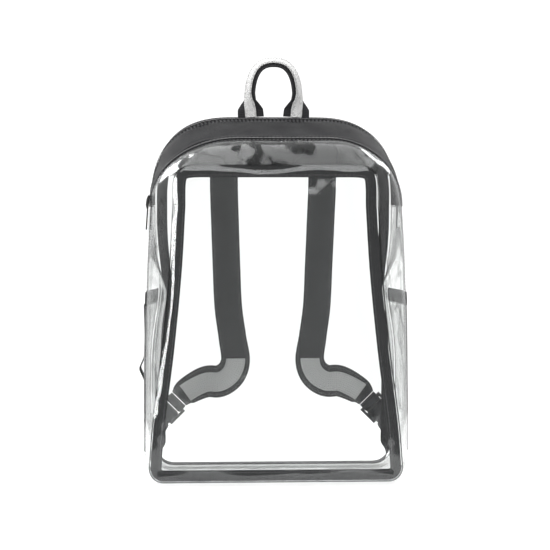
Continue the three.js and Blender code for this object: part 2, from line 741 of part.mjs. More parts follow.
// Rows of a strap's middle line, smoothed through its route and led to its lock.
function strapRows(sign, from, to, count, lift = 0, widthOf = (w) => w * STRAP_WIDTH) {
  const edge = BACK_HEIGHT - YOKE_DROP + STRAP_TUCK;
  const { place } = lockFrame(sign);
  const lockTop = -LOCK.length / 2 - STRAP_LEAD;
  const route = STRAP_ROUTE.map(({ across, up, off }) =>
    vector(sign * STRAP_ACROSS * across, MAIN_DEPTH + off - lift, edge * up),
  );
  route.push(...[STRAP_TAPER, 0].map((a) => place(lockTop - a, -lift)));
  const webbing = STRAP_WEBBING / STRAP_WIDTH;
  const widths = [...STRAP_ROUTE.map((row) => row.width), STRAP_NECK * webbing, webbing];
  const curve = new THREE.CatmullRomCurve3(route, false, "centripetal");
  return steps(count).map((t) => {
    const s = lerp(from, to, t);
    const at = curve.getPoint(s);
    const tangent = curve.getTangent(s);
    const side = new THREE.Vector3().crossVectors(vector(0, 1, 0), tangent).normalize();
    const spot = s * (widths.length - 1);
    const k = Math.min(widths.length - 2, Math.floor(spot));
    return { at, side, width: widthOf(lerp(widths[k], widths[k + 1], spot - k)) };
  });
}

// A ladder lock: three bars and two slots in a flat moulding.
function ladderLock(sign) {
  const { place } = lockFrame(sign);
  const { width, length, thick, bar, slot } = LOCK;
  const shape = new THREE.Shape();
  const [w, l] = [width / 2, length / 2];
  shape.moveTo(-w, -l);
  shape.lineTo(w, -l);
  shape.lineTo(w, l);
  shape.lineTo(-w, l);
  for (const start of [-l + bar, l - bar - slot]) {
    const hole = new THREE.Path();
    const s = STRAP_WEBBING / 2 + 2 * GAP;
    hole.moveTo(-s, start);
    hole.lineTo(-s, start + slot);
    hole.lineTo(s, start + slot);
    hole.lineTo(s, start);
    shape.holes.push(hole);
  }
  const flat = new THREE.ExtrudeGeometry(shape, { depth: thick, bevelEnabled: false });
  const position = flat.getAttribute("position");
  const merged = new Map();
  const points = [];
  const index = Array.from({ length: position.count }, (_, i) => {
    const corner = new THREE.Vector3().fromBufferAttribute(position, i);
    const key = corner.toArray().map((v) => v.toFixed(3)).join();
    if (!merged.has(key)) {
      merged.set(key, points.length);
      points.push(place(corner.y, corner.z - thick / 2, corner.x));
    }
    return merged.get(key);
  });
  const faces = [];
  for (let i = 0; i < index.length; i += 3) faces.push(index.slice(i, i + 3));
  return { points, faces };
}

// The webbing loop that ties a strap's end to the lock's first bar.
function strapLoop(sign) {
  const { across, place } = lockFrame(sign);
  const { length, thick, bar } = LOCK;
  const t = WEBBING / 2;
  const over = thick / 2 + 2 * GAP + t;
  const inside = -length / 2 + bar + 2 * GAP + t;
  const start = -length / 2 - STRAP_LEAD + 4 * GAP;
  const near = -length / 2 - 2 * GAP - t;
  const path = [
    [start, t + GAP / 2],
    [near - LOOP_TURN, t + GAP / 2],
    [near, over],
    [inside, over],
    [inside, -over],
    [near, -over],
    [near - LOOP_TURN, -t - GAP / 2],
    [start, -t - GAP / 2],
  ];
  const rows = path.map(([a, n]) => ({ at: place(a, n), side: across, width: STRAP_WEBBING }));
  return ribbon(rows, WEBBING);
}

// The adjusting webbing: from its anchor under the lock, up over the middle bar, down and out, then free.
function adjuster(sign, sideName) {
  const { across, place } = lockFrame(sign);
  const { length, thick, bar, slot } = LOCK;
  const t = WEBBING / 2;
  const over = thick / 2 + 2 * GAP + t;
  const under = over + WEBBING + 2 * GAP;
  const middleBar = length / 2 - bar - slot;
  const end = length / 2 + LOCK_CLEAR;
  const seat = -LOCK_OFF + 4 * GAP + CLOTH + t; // on the anchor tab
  const through = [
    [end + ANCHOR_REACH * ANCHOR_SEAT.far, seat],
    [end + ANCHOR_REACH * ANCHOR_SEAT.near, seat],
    [end, -under],
    [-middleBar - 2 * GAP - t, -under],
    [-middleBar - 2 * GAP - t, over],
    [middleBar + 2 * GAP + t, over],
    [middleBar + 2 * GAP + t, -over],
    [end - LOCK_CLEAR / 2, -over],
    [end + TAIL_EXIT, -over + LOCK_CLEAR],
  ].map(([a, n]) => ({ at: place(a, n), side: across, width: STRAP_WEBBING }));
  const tail = sideName === "left" ? freeTail(sign, through[through.length - 1]) : foldedTail(sign, end);
  return ribbon([...through, ...tail], WEBBING);
}

// Rows of the left tail: out past the side seam, up outside the pocket.
function freeTail(sign, { at: exit, side: flat }) {
  const edge = MAIN_DEPTH + TAIL_OFF - STRAP_WEBBING / 2;
  const flank = lerp(ZIP_WIDTH, BACK_WIDTH, edge / MAIN_DEPTH) / 2;
  return TAIL_ROUTE.map(({ out, up, deep, turn }) => {
    const angle = radians(turn);
    return {
      at: vector(
        sign * (flank + TAIL_REACH * out),
        lerp(exit.y, MAIN_DEPTH + TAIL_OFF, deep),
        lerp(exit.z, TAIL_HEIGHT, up),
      ),
      side: flat.clone().multiplyScalar(Math.cos(angle)).add(vector(0, Math.sin(angle), 0)),
      width: STRAP_WEBBING,
    };
  });
}

// Rows of the right tail, back over its own lock.
function foldedTail(sign, end) {
  const { across, place } = lockFrame(sign);
  return TAIL_FOLD.map(({ past, off }) => ({
    at: place(end + past, off),
    side: across,
    width: STRAP_WEBBING,
  }));
}

// The anchor tab: a cloth corner in the side seam, under the end of the adjusting webbing.
function anchorTab(sign) {
  const outer = BACK_SEAM.half * ANCHOR_EDGE;
  const seat = lockFrame(sign).place(LOCK.length / 2 + LOCK_CLEAR + ANCHOR_REACH * ANCHOR_SEAT.far, 0);
  const outline = ANCHOR_FORM.map(({ inward, up }) => [
    outer - ANCHOR_REACH * inward,
    seat.z + ANCHOR_REACH * up,
  ]);
  const y = MAIN_DEPTH + 3 * GAP;
  return swept([0, CLOTH].map((d) => outline.map(([x, z]) => vector(sign * x, y + d, z))));
}

function addStraps() {
  for (const [sideName, sign] of SIDES) {
    const strap = ribbon(strapRows(sign, 0, 1, STRAP_STEPS), STRAP_THICK, STRAP_RIM);
    piece(`shoulder_strap_${sideName}`, "nylon", strap);
    const lift = STRAP_THICK / 2 + 3 * GAP + SHEET / 2;
    const [from, to] = LINING_STEPS.map((step) => step / STRAP_STEPS);
    const count = LINING_STEPS[1] - LINING_STEPS[0];
    const lining = strapRows(sign, from, to, count, lift, () => LINING_WIDTH);
    piece(`strap_lining_${sideName}`, "grey", ribbon(lining, SHEET));
    piece(`ladder_lock_${sideName}`, "plastic", ladderLock(sign));
    piece(`strap_loop_${sideName}`, "nylon", strapLoop(sign));
    piece(`adjuster_webbing_${sideName}`, "nylon", adjuster(sign, sideName));
    piece(`anchor_tab_${sideName}`, "nylon", anchorTab(sign));
  }
}

addShell();
addZips();
addPockets();
addHandle();
addStraps();

// The origin is the middle of the whole bag's footprint, on the floor.
const box = new THREE.Box3().setFromObject(group);
group.position.set(-(box.min.x + box.max.x) / 2, -(box.min.y + box.max.y) / 2, -box.min.z);

export default group;
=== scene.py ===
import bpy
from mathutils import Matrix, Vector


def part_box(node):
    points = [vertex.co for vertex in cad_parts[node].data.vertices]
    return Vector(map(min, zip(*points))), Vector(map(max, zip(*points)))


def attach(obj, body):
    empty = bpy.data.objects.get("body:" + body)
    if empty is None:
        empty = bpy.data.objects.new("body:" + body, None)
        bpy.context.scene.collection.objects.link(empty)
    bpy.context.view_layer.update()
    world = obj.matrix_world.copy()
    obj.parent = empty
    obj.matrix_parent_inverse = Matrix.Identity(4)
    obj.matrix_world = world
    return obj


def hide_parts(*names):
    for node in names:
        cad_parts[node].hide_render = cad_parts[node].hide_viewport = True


bl_info = {
    "name": "Clear Stadium Backpack",
    "version": (1, 0, 0),
    "blender": (4, 5, 0),
    "location": "View3D > Sidebar > Bag",
    "description": "Dresses the frame of a clear backpack with its sheets, cloth, zips, webbing and light",
    "category": "Object",
}

import math

import bmesh
import bpy
import numpy as np
from bpy.props import FloatProperty, FloatVectorProperty, PointerProperty
from mathutils import Vector

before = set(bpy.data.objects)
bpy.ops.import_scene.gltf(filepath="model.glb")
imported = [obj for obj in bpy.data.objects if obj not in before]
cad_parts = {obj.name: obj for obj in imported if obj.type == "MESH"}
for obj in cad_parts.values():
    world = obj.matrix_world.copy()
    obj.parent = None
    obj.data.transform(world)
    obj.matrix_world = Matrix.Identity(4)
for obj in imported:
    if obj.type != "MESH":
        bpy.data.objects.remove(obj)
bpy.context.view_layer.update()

MM = 0.001


def node_box(node):
    """The lowest and highest corner of a node, in millimetres."""
    return [np.array(corner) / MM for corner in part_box(node)]


# Places in the frame: the bag's middle, the front zip line and the height of each seam, in millimetres
MIDDLE = sum(node_box("front_gusset"))[0] / 2
ZIP_PLANE = node_box("front_gusset")[1][1]
SHIFT = np.array([MIDDLE, ZIP_PLANE, 0.0])
ZIP_HEIGHT = node_box("front_gusset")[1][2]
BACK_HEIGHT = node_box("back_yoke")[1][2]
YOKE_EDGE = node_box("back_yoke")[0][2]
FRONT_BASE, FRONT_HEIGHT = (corner[2] for corner in node_box("front_panel"))
SHOULDER_HEIGHT = node_box("side_gusset")[1][2]
POCKET_HEIGHT = node_box("pocket_band_left")[1][2]
POCKET_BAND_EDGE = node_box("pocket_band_left")[0][2]
POCKET_HEM = node_box("side_pocket_left")[0][2]

# Sizes of the body, as its solids have them
BACK_WIDTH = 252
ZIP_WIDTH = 260
FRONT_WIDTH = 248
FRONT_SHIFT = -2
MAIN_DEPTH = 73
FRONT_DEPTH = 44
FRONT_LEAN = 12
FRONT_CROWN = 4
BACK_CROWN = 3
SHEET = 1.0
CLOTH = 1.2
WEBBING = 1.4
GAP = 0.3
BINDING_WIDTH = 10.5
BINDING_TURN = (3, 26)
HEM_SHARE = 0.09
HEM_HEIGHT = 0.5
ROLL_WIDTH = 12
ROLL_HEIGHT = 0.55
FRONT_TAPE = 9
REAR_TAPE = 21
COIL_WIDTH = 5
COIL_HEIGHT = 1.2
COIL_PITCH = 1.25
REAR_EDGE = MAIN_DEPTH - SHEET - GAP
GUSSET_BULGE = 3
GUSSET_ROUNDING = 1.9
BAG_MIDDLE = np.array([0, MAIN_DEPTH / 3, BACK_HEIGHT / 2])
POCKET_BULGE = 2.5
POCKET_DENT = 11
POCKET_PULL = 7
POCKET_PULL_REACH = 42

# Side lines of the seams: half width as a share of the seam's own, by share of the shoulder height
FRONT_SIDE = [
    {"up": 0, "half": 1},
    {"up": 0.17, "half": 0.975},
    {"up": 0.51, "half": 0.885},
    {"up": 0.8, "half": 0.825},
    {"up": 1, "half": 0.8},
]
ZIP_SIDE = [
    {"up": 0, "half": 1},
    {"up": 0.33, "half": 0.995},
    {"up": 0.66, "half": 0.983},
    {"up": 0.85, "half": 0.968},
    {"up": 1, "half": 0.95},
]
BACK_SIDE = [
    {"up": 0, "half": 0.99},
    {"up": 0.37, "half": 1},
    {"up": 1, "half": 0.975},
]

# Seam outlines: corner is the bottom radius, run the width of the top corners, bend their squareness
FRONT_SEAM = {
    "half": FRONT_WIDTH / 2, "shift": FRONT_SHIFT, "top": FRONT_HEIGHT, "base": FRONT_BASE, "corner": 14,
    "run": {"left": 40, "right": 40}, "bend": 5.2, "side": FRONT_SIDE,
}
ZIP_SEAM = {
    "half": ZIP_WIDTH / 2, "shift": 0, "top": ZIP_HEIGHT, "base": 0, "corner": 24,
    "run": {"left": 88, "right": 72}, "bend": 2, "side": ZIP_SIDE,
}
BACK_SEAM = {
    "half": BACK_WIDTH / 2, "shift": 0, "top": BACK_HEIGHT, "base": 0, "corner": 22,
    "run": {"left": 85, "right": 85}, "bend": 2.7, "side": BACK_SIDE,
}

# How far the side gusset's middle stands out, as a share of its full bulge or dent, by share of height
SIDE_FORM = [
    {"up": 0, "bulge": 0, "dent": 0},
    {"up": 0.05, "bulge": 0, "dent": 0},
    {"up": 0.16, "bulge": 0, "dent": 0.55},
    {"up": 0.35, "bulge": 0, "dent": 0.9},
    {"up": 0.68, "bulge": 0, "dent": 1},
    {"up": 0.8, "bulge": 0.4, "dent": 0.2},
    {"up": 0.9, "bulge": 0.9, "dent": 0},
    {"up": 1, "bulge": 1, "dent": 0},
]

# Steps round the outlines
BOTTOM_STEPS = 24
CORNER_STEPS = 14
SIDE_STEPS = 110
ARCH_STEPS = 72
TOP_STEPS = 24

# Ripples: the seed of their directions, their mean length in millimetres, and how much longer they run
# along the second direction than along the first
WAVES = 9
RIPPLES = {
    "front_panel": (3, 75, 1.8),
    "back_panel": (6, 75, 1.8),
    "back_yoke": (8, 75, 1.8),
    "front_gusset": (4, 70, 1),
    "corner_fold": (9, 34, 1),
    "side_gusset": (11, 60, 0.8),
    "nylon_slack": (21, 52, 0.7),
    "nylon_pucker": (23, 9, 4),
    "pocket_left": (30, 16, 9),
    "pocket_right": (32, 16, 9),
    "strap_left": (40, 14, 3),
    "strap_right": (42, 14, 3),
}

# The front gusset: the length that its ripples are measured over round it, the heights between which
# they grow, and where the folds of its top corners lie
FRONT_ROUND = 1150
FRONT_WAVE = {"height": 0.25, "more": 0.35, "from": 190, "to": 300}
CORNER_FOLD = {"height": 0.6, "across": 84, "reach": 26, "from": 230, "to": 290}
FLOOR_CLEAR = (4, 14)  # heights between which its ripples fade in over the floor

# Heights of the other ripples, the depth that they are measured over, how far from its edges a panel
# ripples in full, and the puckers of the pockets' elastic
RIPPLE_DEPTH = 70
SIDE_WAVE = 0.9
SIDE_STILL = {"below": 6, "over": 30}
NYLON_SLACK = 0.8
NYLON_PUCKER = 0.18
YOKE_WAVE = 0.5
PANEL_HEM = 12
POCKET_SLACK = 0.35
ELASTIC_PUCKER = {"height": 0.28, "pitch": 3.1}

# Stitches, how far they stand off cloth or a sheet, how far their rows lie from an edge, and how far the
# dark of a seam reaches into a sheet
STITCH = {"length": 2.8, "pitch": 3.6, "thread": 0.55}
ZIP_STITCH = {"length": 2.6, "pitch": 3.9, "thread": 0.8}
ON_CLOTH = 0.05
ON_NYLON = 0.35
ON_YOKE = 0.15
IN_TAPE = -0.2
BINDING_ROW = 2.2
NYLON_ROW = 1.8
ZIP_ROW = 1.6
COIL_ROW = 1.4
STRIP_ROW = 1.3
YOKE_ROWS = (2.5, 6)
SEAM_REACH = 1.8
TAPE_CROWN = 0.35

# One turn of a zip's coil: its length and its place beside the middle as shares of the coil's width, and
# its own width in millimetres
TOOTH = {"length": 0.62, "width": 1.15, "beside": 0.19}

# A padded strap's profile: heights as shares of the middle's, and places as shares of the half width
PAD_LOW = 0.36
PAD_REACH = 0.86
PAD_STITCH = 0.84
PAD_GROOVE = {"deep": 0.1, "reach": 0.035}
PAD_EDGE = {"from": 0.93, "thick": 0.15}
PAD_SEAM_HEIGHT = 0.37
PAD_UNEVEN = 0.05

# The clear sheet: the share that it mirrors head on, how far its tint falls edge on, at seams and at most,
# the rise of its ripples in metres, and its crease lines, which are painted shade: their width in the noise
# that places them, how dark the painted shade is, and the heights in metres between which it fades in
SHEET_MIRROR = 0.04
SHEET_EDGE_ON = 0.7
SHEET_SEAM = 0.8
SHEET_DARKEST = 0.3
SHEET_BUMP = 0.0012
CREASE_WIDTH = 0.016
# How dark the painted shade along the crease lines is.
CREASE_SHADE = 0.38
CREASE_FADE = (0.02, 0.07)

# Pitches of weaves, in metres
NYLON_PITCH = 0.0009
MESH_PITCH = 0.0021
HERRINGBONE = {"column": 0.0029, "yarn": 0.0024}

# Carry handle
HANDLE_RISE = 58
HANDLE_SPREAD = 46.5
HANDLE_WIDTH = 27
STRIP_WIDTH = 11.5
HANDLE_TOP = 3.4
HANDLE_SINK = 0.8
HANDLE_INSET = 2
HANDLE_BOW = 0.25
HANDLE_ARCH = {"across": 0.8, "up": 0.9}
HANDLE_FORM = [
    {"up": 0, "width": 1, "thick": 1, "turn": 90},
    {"up": 0.07, "width": 0.97, "thick": 1, "turn": 88},
    {"up": 0.13, "width": 0.72, "thick": 1.6, "turn": 70},
    {"up": 0.18, "width": 0.54, "thick": 2.4, "turn": 48},
    {"up": 0.26, "width": 0.52, "thick": 2.6, "turn": 34},
    {"up": 1, "width": 0.52, "thick": 2.6, "turn": 28},
]

# Straps, locks and adjusting webbing
STRAP_WIDTH = 29
STRAP_THICK = 6
STRAP_ACROSS = 51
STRAP_TUCK = 5
STRAP_LEAD = 5
STRAP_TAPER = 9
STRAP_NECK = 1.4
STRAP_SHARES = 34
STRAP_STEPS = 420
LINING_STEPS = 120
CURVE_STEPS = 2000
WIDTH_BLEND = 80
LINING_WIDTH = 20
LINING_SHARES = (18, 31)
LOCK = {"length": 20.2, "thick": 3.6, "bar": 3.4, "slot": 5}
LOCK_HEIGHT = 58
LOCK_INSET = 17.5
LOCK_OFF = 9.5
LOCK_TILT = 45
LOCK_CLEAR = 2
STRAP_WEBBING = 20
TAIL_HEIGHT = 169
TAIL_REACH = 10.8
TAIL_OFF = -11
TAIL_EXIT = 4
LOOP_TURN = 1
LOOP_BEND = 0.7
WEBBING_BEND = 2.5
ROUNDING = {"slider": 0.45, "lock": 0.7, "tab": 0.3}
ANCHOR_REACH = 14
ANCHOR_SEAT = {"far": 0.4, "near": 0.2}
STRAP_ROUTE = [
    {"across": 1, "up": 1, "off": 4.8, "width": 1},
    {"across": 1, "up": 0.94, "off": 7.5, "width": 1},
    {"across": 0.98, "up": 0.83, "off": 13, "width": 1},
    {"across": 0.95, "up": 0.68, "off": 19, "width": 1},
    {"across": 0.91, "up": 0.53, "off": 21, "width": 1},
    {"across": 0.83, "up": 0.43, "off": 20, "width": 1},
    {"across": 0.77, "up": 0.345, "off": 18, "width": 1.05},
    {"across": 0.88, "up": 0.303, "off": 16.5, "width": 1.12},
    {"across": 1.1, "up": 0.28, "off": 14.5, "width": 1.16},
    {"across": 1.36, "up": 0.28, "off": 12, "width": 1.16},
]
TAIL_ROUTE = [
    {"out": -0.3, "up": -0.035, "deep": -0.14, "turn": 30},
    {"out": 0.14, "up": -0.052, "deep": -0.24, "turn": 65},
    {"out": 0.44, "up": -0.045, "deep": -0.18, "turn": 90},
    {"out": 0.55, "up": -0.01, "deep": 0, "turn": 90},
    {"out": 0.55, "up": 0.07, "deep": 0.26, "turn": 90},
    {"out": 0.51, "up": 0.18, "deep": 0.62, "turn": 90},
    {"out": 0.48, "up": 0.29, "deep": 0.92, "turn": 90},
    {"out": 0.51, "up": 0.37, "deep": 1, "turn": 90},
    {"out": 1, "up": 0.465, "deep": 1, "turn": 90},
    {"out": 0.52, "up": 0.56, "deep": 1, "turn": 90},
    {"out": 0.46, "up": 0.75, "deep": 1, "turn": 90},
    {"out": 0.49, "up": 1, "deep": 1, "turn": 90},
]
TAIL_FOLD = [
    {"past": 6, "off": 1},
    {"past": 6.6, "off": 3.4},
    {"past": 4, "off": 5.8},
    {"past": -6, "off": 6.2},
    {"past": -16, "off": 6.6},
]
SIDES = (("left", -1), ("right", 1))

# The photograph's camera: where it looks, from how far and from which side
CAMERA_AIM = np.array([-0.7, 18.0, 201.0])
CAMERA_DISTANCE = 1500
CAMERA_AZIMUTH = -2.5
CAMERA_ELEVATION = 3
CAMERA_PIXELS = 1500
PHOTO_PIXELS = 550

# Soft boxes: place and aim, width and height, all in metres, and radiance
LIGHTS = {
    "overhead_left_box": ((-0.65, 0, 1.5), (-0.65, 0, 0), (1.3, 1.5), 2.8),
    "overhead_right_box": ((0.5, 0, 1.5), (0.5, 0, 0), (0.88, 1.5), 1.9),
    "left_strip_box": ((-0.62, -1.5, 0.3), (0, 0, 0.25), (0.26, 0.55), 12),
    "left_box": ((-1.3, -1.1, 0.65), (0, 0, 0.2), (0.35, 1.2), 4),
    "right_box": ((1.4, -0.9, 0.6), (0, 0, 0.2), (0.3, 1.1), 3),
    "top_strip_box": ((0, -1.5, 0.81), (0, 0, 0.3), (0.8, 0.44), 3.2),
    "left_corner_box": ((-0.8, 1, 1), (0, 0, 0.3), (0.5, 0.5), 6),
    "right_corner_box": ((0.8, 1, 1), (0, 0, 0.3), (0.5, 0.5), 6),
}

# The studio: its fall in brightness as rays turn up, its rise as they turn back, each from and to what,
# the backdrop that the camera sees, and the round floor in millimetres
ROOM_UP = (0.1, 0.9, 1.0, 0.5)
ROOM_BACK = (-0.5, 0.15, 0.3, 1.0)
BACKDROP = 1.17
FLOOR_RINGS = np.array([160.0, 320, 480])
FLOOR_SIDES = 96
FLOOR_DROP = 0.2
FLOOR_GLOW = 0.24


# Numbers on curves and grids


def smooth_rows(table, column, up):
    """A table's column on cubic pieces, whose slope at each row is the mean of the slopes beside it."""
    x = np.array([row["up"] for row in table], float)
    y = np.array([row[column] for row in table], float)
    slope = np.gradient(y, x)
    at = np.clip(up, 0, 1)
    k = np.clip(np.searchsorted(x, at) - 1, 0, len(x) - 2)
    step = x[k + 1] - x[k]
    t = (at - x[k]) / step
    start = (2 * t**3 - 3 * t**2 + 1) * y[k] + (t**3 - 2 * t**2 + t) * step * slope[k]
    return start + (3 * t**2 - 2 * t**3) * y[k + 1] + (t**3 - t**2) * step * slope[k + 1]


def straight_rows(table, column, up, key="up"):
    """A table's column on straight lines between its rows."""
    return np.interp(up, [row[key] for row in table], [row[column] for row in table])


def smooth_step(x, low, high):
    """0 below low and 1 above high, with a level start and end."""
    t = np.clip((x - low) / (high - low), 0, 1)
    return t * t * (3 - 2 * t)


def unit(v):
    """Vectors made one unit long."""
    return v / np.maximum(np.linalg.norm(v, axis=-1, keepdims=True), 1e-9)


def ripples(a, b, kind):
    """A sum of sine waves over two lengths, with directions and phases from RIPPLES, about -1 to 1."""
    seed, wave, stretch = RIPPLES[kind]
    rng = np.random.default_rng(seed)
    angle = rng.uniform(0, 2 * np.pi, WAVES)
    phase = rng.uniform(0, 2 * np.pi, WAVES)
    length = wave * rng.uniform(0.6, 1.7, WAVES)
    total = 0
    for turn, start, size in zip(angle, phase, length):
        total = total + np.sin(2 * np.pi * (a * np.cos(turn) + b / stretch * np.sin(turn)) / size + start)
    return total / math.sqrt(WAVES)


def side_half(seam, z):
    """Half the width of a seam's side line at a height."""
    return seam["half"] * smooth_rows(seam["side"], "half", z / SHOULDER_HEIGHT)


def half_at(seam, z, side="right"):
    """Half the width of a seam's outline at a height: a quarter circle below, the side line, and the
    quarter of a superellipse over the shoulder."""
    z = np.asarray(z, float)
    rise = np.clip((z - SHOULDER_HEIGHT) / (seam["top"] - SHOULDER_HEIGHT), 0, 1)
    run = seam["run"][side]
    arch = side_half(seam, np.array(SHOULDER_HEIGHT)) - run * (
        1 - (1 - rise ** seam["bend"]) ** (1 / seam["bend"])
    )
    start = seam["base"] + seam["corner"]
    below = np.clip(start - z, 0, seam["corner"])
    arc = seam["corner"] - np.sqrt(seam["corner"] ** 2 - below**2)
    return np.where(z > SHOULDER_HEIGHT, arch, side_half(seam, np.maximum(z, start)) - arc)


def lower_half(seam):
    """[x, z] from the middle of the bottom, round a quarter circle and up the side line to the shoulder."""
    start = seam["base"] + seam["corner"]
    hip = side_half(seam, np.array(start)) - seam["corner"]
    bottom = np.linspace(0, 1, BOTTOM_STEPS, endpoint=False)[:, None] * [hip, 0] + [0, seam["base"]]
    turn = np.linspace(0, np.pi / 2, CORNER_STEPS, endpoint=False)
    corner = np.stack([hip + seam["corner"] * np.sin(turn), start - seam["corner"] * np.cos(turn)], 1)
    z = np.linspace(start, SHOULDER_HEIGHT, SIDE_STEPS)
    return np.concatenate([bottom, corner, np.stack([side_half(seam, z), z], 1)])


def upper_half(seam, side):
    """[x, z] from the shoulder over a quarter of a superellipse to the middle of the top."""
    run = seam["run"][side]
    rise = seam["top"] - SHOULDER_HEIGHT
    inner = side_half(seam, np.array(SHOULDER_HEIGHT)) - run
    turn = np.linspace(0, np.pi / 2, ARCH_STEPS)
    power = 2 / seam["bend"]
    arch = [inner + run * np.cos(turn) ** power, SHOULDER_HEIGHT + GAP + (rise - GAP) * np.sin(turn) ** power]
    across = np.linspace(1, 0, TOP_STEPS)[1:]
    top = np.stack([inner * across, np.full_like(across, seam["top"])], 1)
    return np.concatenate([np.stack(arch, 1), top])


def lower_outline(seam):
    """The U from the left shoulder round the bottom to the right shoulder."""
    right = lower_half(seam)
    return np.concatenate([right[:0:-1] * [-1, 1], right]) + [seam["shift"], 0]


def upper_outline(seam):
    """The arch from the right shoulder over the top to the left shoulder."""
    arch = np.concatenate([upper_half(seam, "right"), upper_half(seam, "left")[-2::-1] * [-1, 1]])
    return arch + [seam["shift"], 0]


def whole_outline(seam):
    """The closed outline, anticlockwise as seen from the front."""
    return np.concatenate([lower_outline(seam), upper_outline(seam)])


def outwards(outline, closed=True):
    """Unit directions square to an outline and out of it."""
    if closed:
        along = np.roll(outline, -1, 0) - np.roll(outline, 1, 0)
    else:
        along = np.gradient(outline, axis=0)
    return unit(np.stack([along[:, 1], -along[:, 0]], 1))


def softened(points):
    """The pull of the pocket mouths' elastic: x shrinks near their height, most at the back."""
    back = smooth_step(points[..., 1], 0, MAIN_DEPTH)
    reach = np.exp(-(((points[..., 2] - POCKET_HEIGHT) / POCKET_PULL_REACH) ** 2))
    drawn = points.copy()
    drawn[..., 0] *= 1 - POCKET_PULL * back * reach / (BACK_WIDTH / 2)
    return drawn


def front_y(z):
    """The depth of the front seam's leaning plane."""
    return -FRONT_DEPTH + FRONT_LEAN * z / FRONT_HEIGHT


def crown(seam, height, x, z):
    """How far a panel's middle stands out: a parabola across times a parabola up."""
    side = np.maximum(0, 1 - ((x - seam["shift"]) / np.maximum(half_at(seam, z), 1)) ** 2)
    middle = (seam["top"] + seam["base"]) / 2
    return height * side * (1 - ((z - middle) / (middle - seam["base"])) ** 2)


def front_face(x, z):
    """The outer face of the front panel."""
    return front_y(z) - crown(FRONT_SEAM, FRONT_CROWN, x, z)


def rolled_front(x, z):
    """The front panel's face with a low roll over its binding."""
    side = half_at(FRONT_SEAM, z) - np.abs(x - FRONT_SHIFT)
    rise = np.minimum(z - FRONT_SEAM["base"], FRONT_SEAM["top"] - z)
    share = np.clip(np.minimum(side, rise) / ROLL_WIDTH, 0, 1)
    return front_face(x, z) - ROLL_HEIGHT * np.sin(np.pi * share)


def back_face(x, z):
    """The outer face of the back."""
    return MAIN_DEPTH + crown(BACK_SEAM, BACK_CROWN, x, z)


# Meshes from grids


def grid_normals(grid, ring=False, loop=False):
    """Unit normals of a grid: the cross product of its steps along columns and rows."""
    def steps(values, axis, closed):
        if closed:
            return np.roll(values, -1, axis) - np.roll(values, 1, axis)
        return np.gradient(values, axis=axis)

    return unit(np.cross(steps(grid, 0, loop), steps(grid, 1, ring)))


def facing_out(points, normals, middle=BAG_MIDDLE):
    """Normals turned away from a middle."""
    away = np.einsum("ij,ij->i", normals, points - middle)
    return normals * np.sign(away)[:, None]


def lengths(grid, axis, closed):
    """Lengths walked along one axis of a grid, averaged over the other, with the closing step if closed."""
    steps = np.linalg.norm(np.diff(grid, axis=axis), axis=2).mean(1 - axis)
    if closed:
        first, last = np.take(grid, 0, axis), np.take(grid, -1, axis)
        steps = np.append(steps, np.linalg.norm(first - last, axis=1).mean())
    return np.concatenate([[0], np.cumsum(steps)])


def mesh_object(name, points, faces, uv=None, seam=None, smooth_to=42):
    """A piece from points in millimetres and faces in the order given, with a UV map in metres and edges
    sharper than smooth_to degrees kept sharp."""
    mesh = bpy.data.meshes.new(name)
    mesh.from_pydata(((points + SHIFT) * MM).tolist(), [], faces)
    if uv is not None:
        layer = mesh.uv_layers.new(name="UVMap")
        layer.data.foreach_set("uv", (uv * MM).ravel().astype(np.float32))
    if seam is not None:
        layer = mesh.attributes.new("seam", "FLOAT", "POINT")
        layer.data.foreach_set("value", seam.astype(np.float32))
    mesh.polygons.foreach_set("use_smooth", [True] * len(mesh.polygons))
    mesh.update()
    mesh.set_sharp_from_angle(angle=math.radians(smooth_to))
    piece = bpy.data.objects.new(name, mesh)
    bpy.context.scene.collection.objects.link(piece)
    return piece


def quads_of(rows, columns, ring, loop):
    """Corner numbers of a grid's quads."""
    i = np.arange(rows if loop else rows - 1)[:, None]
    j = np.arange(columns if ring else columns - 1)[None]
    after, beside = (i + 1) % rows, (j + 1) % columns
    corners = (i, j), (i, beside), (after, beside), (after, j)
    return np.stack([row * columns + column for row, column in corners], -1)


def quad_uvs(grid, ring, loop):
    """UVs of a grid's quads: u along the rows' direction and v across them, both in millimetres."""
    u, v = lengths(grid, 0, loop), lengths(grid, 1, ring)
    rows, columns = len(u) - 1, len(v) - 1
    i, j = np.meshgrid(np.arange(rows), np.arange(columns), indexing="ij")
    corners = (i, j), (i, j + 1), (i + 1, j + 1), (i + 1, j)
    return np.stack([np.stack([u[a], v[b]], -1) for a, b in corners], -2)


def signed_volume(points, quads):
    """The volume that faces enclose, below zero where they point inwards."""
    a, b, c, d = (points[quads[:, k]] for k in range(4))
    return np.einsum("ij,ij->i", a, np.cross(b, c) + np.cross(c, d)).sum()


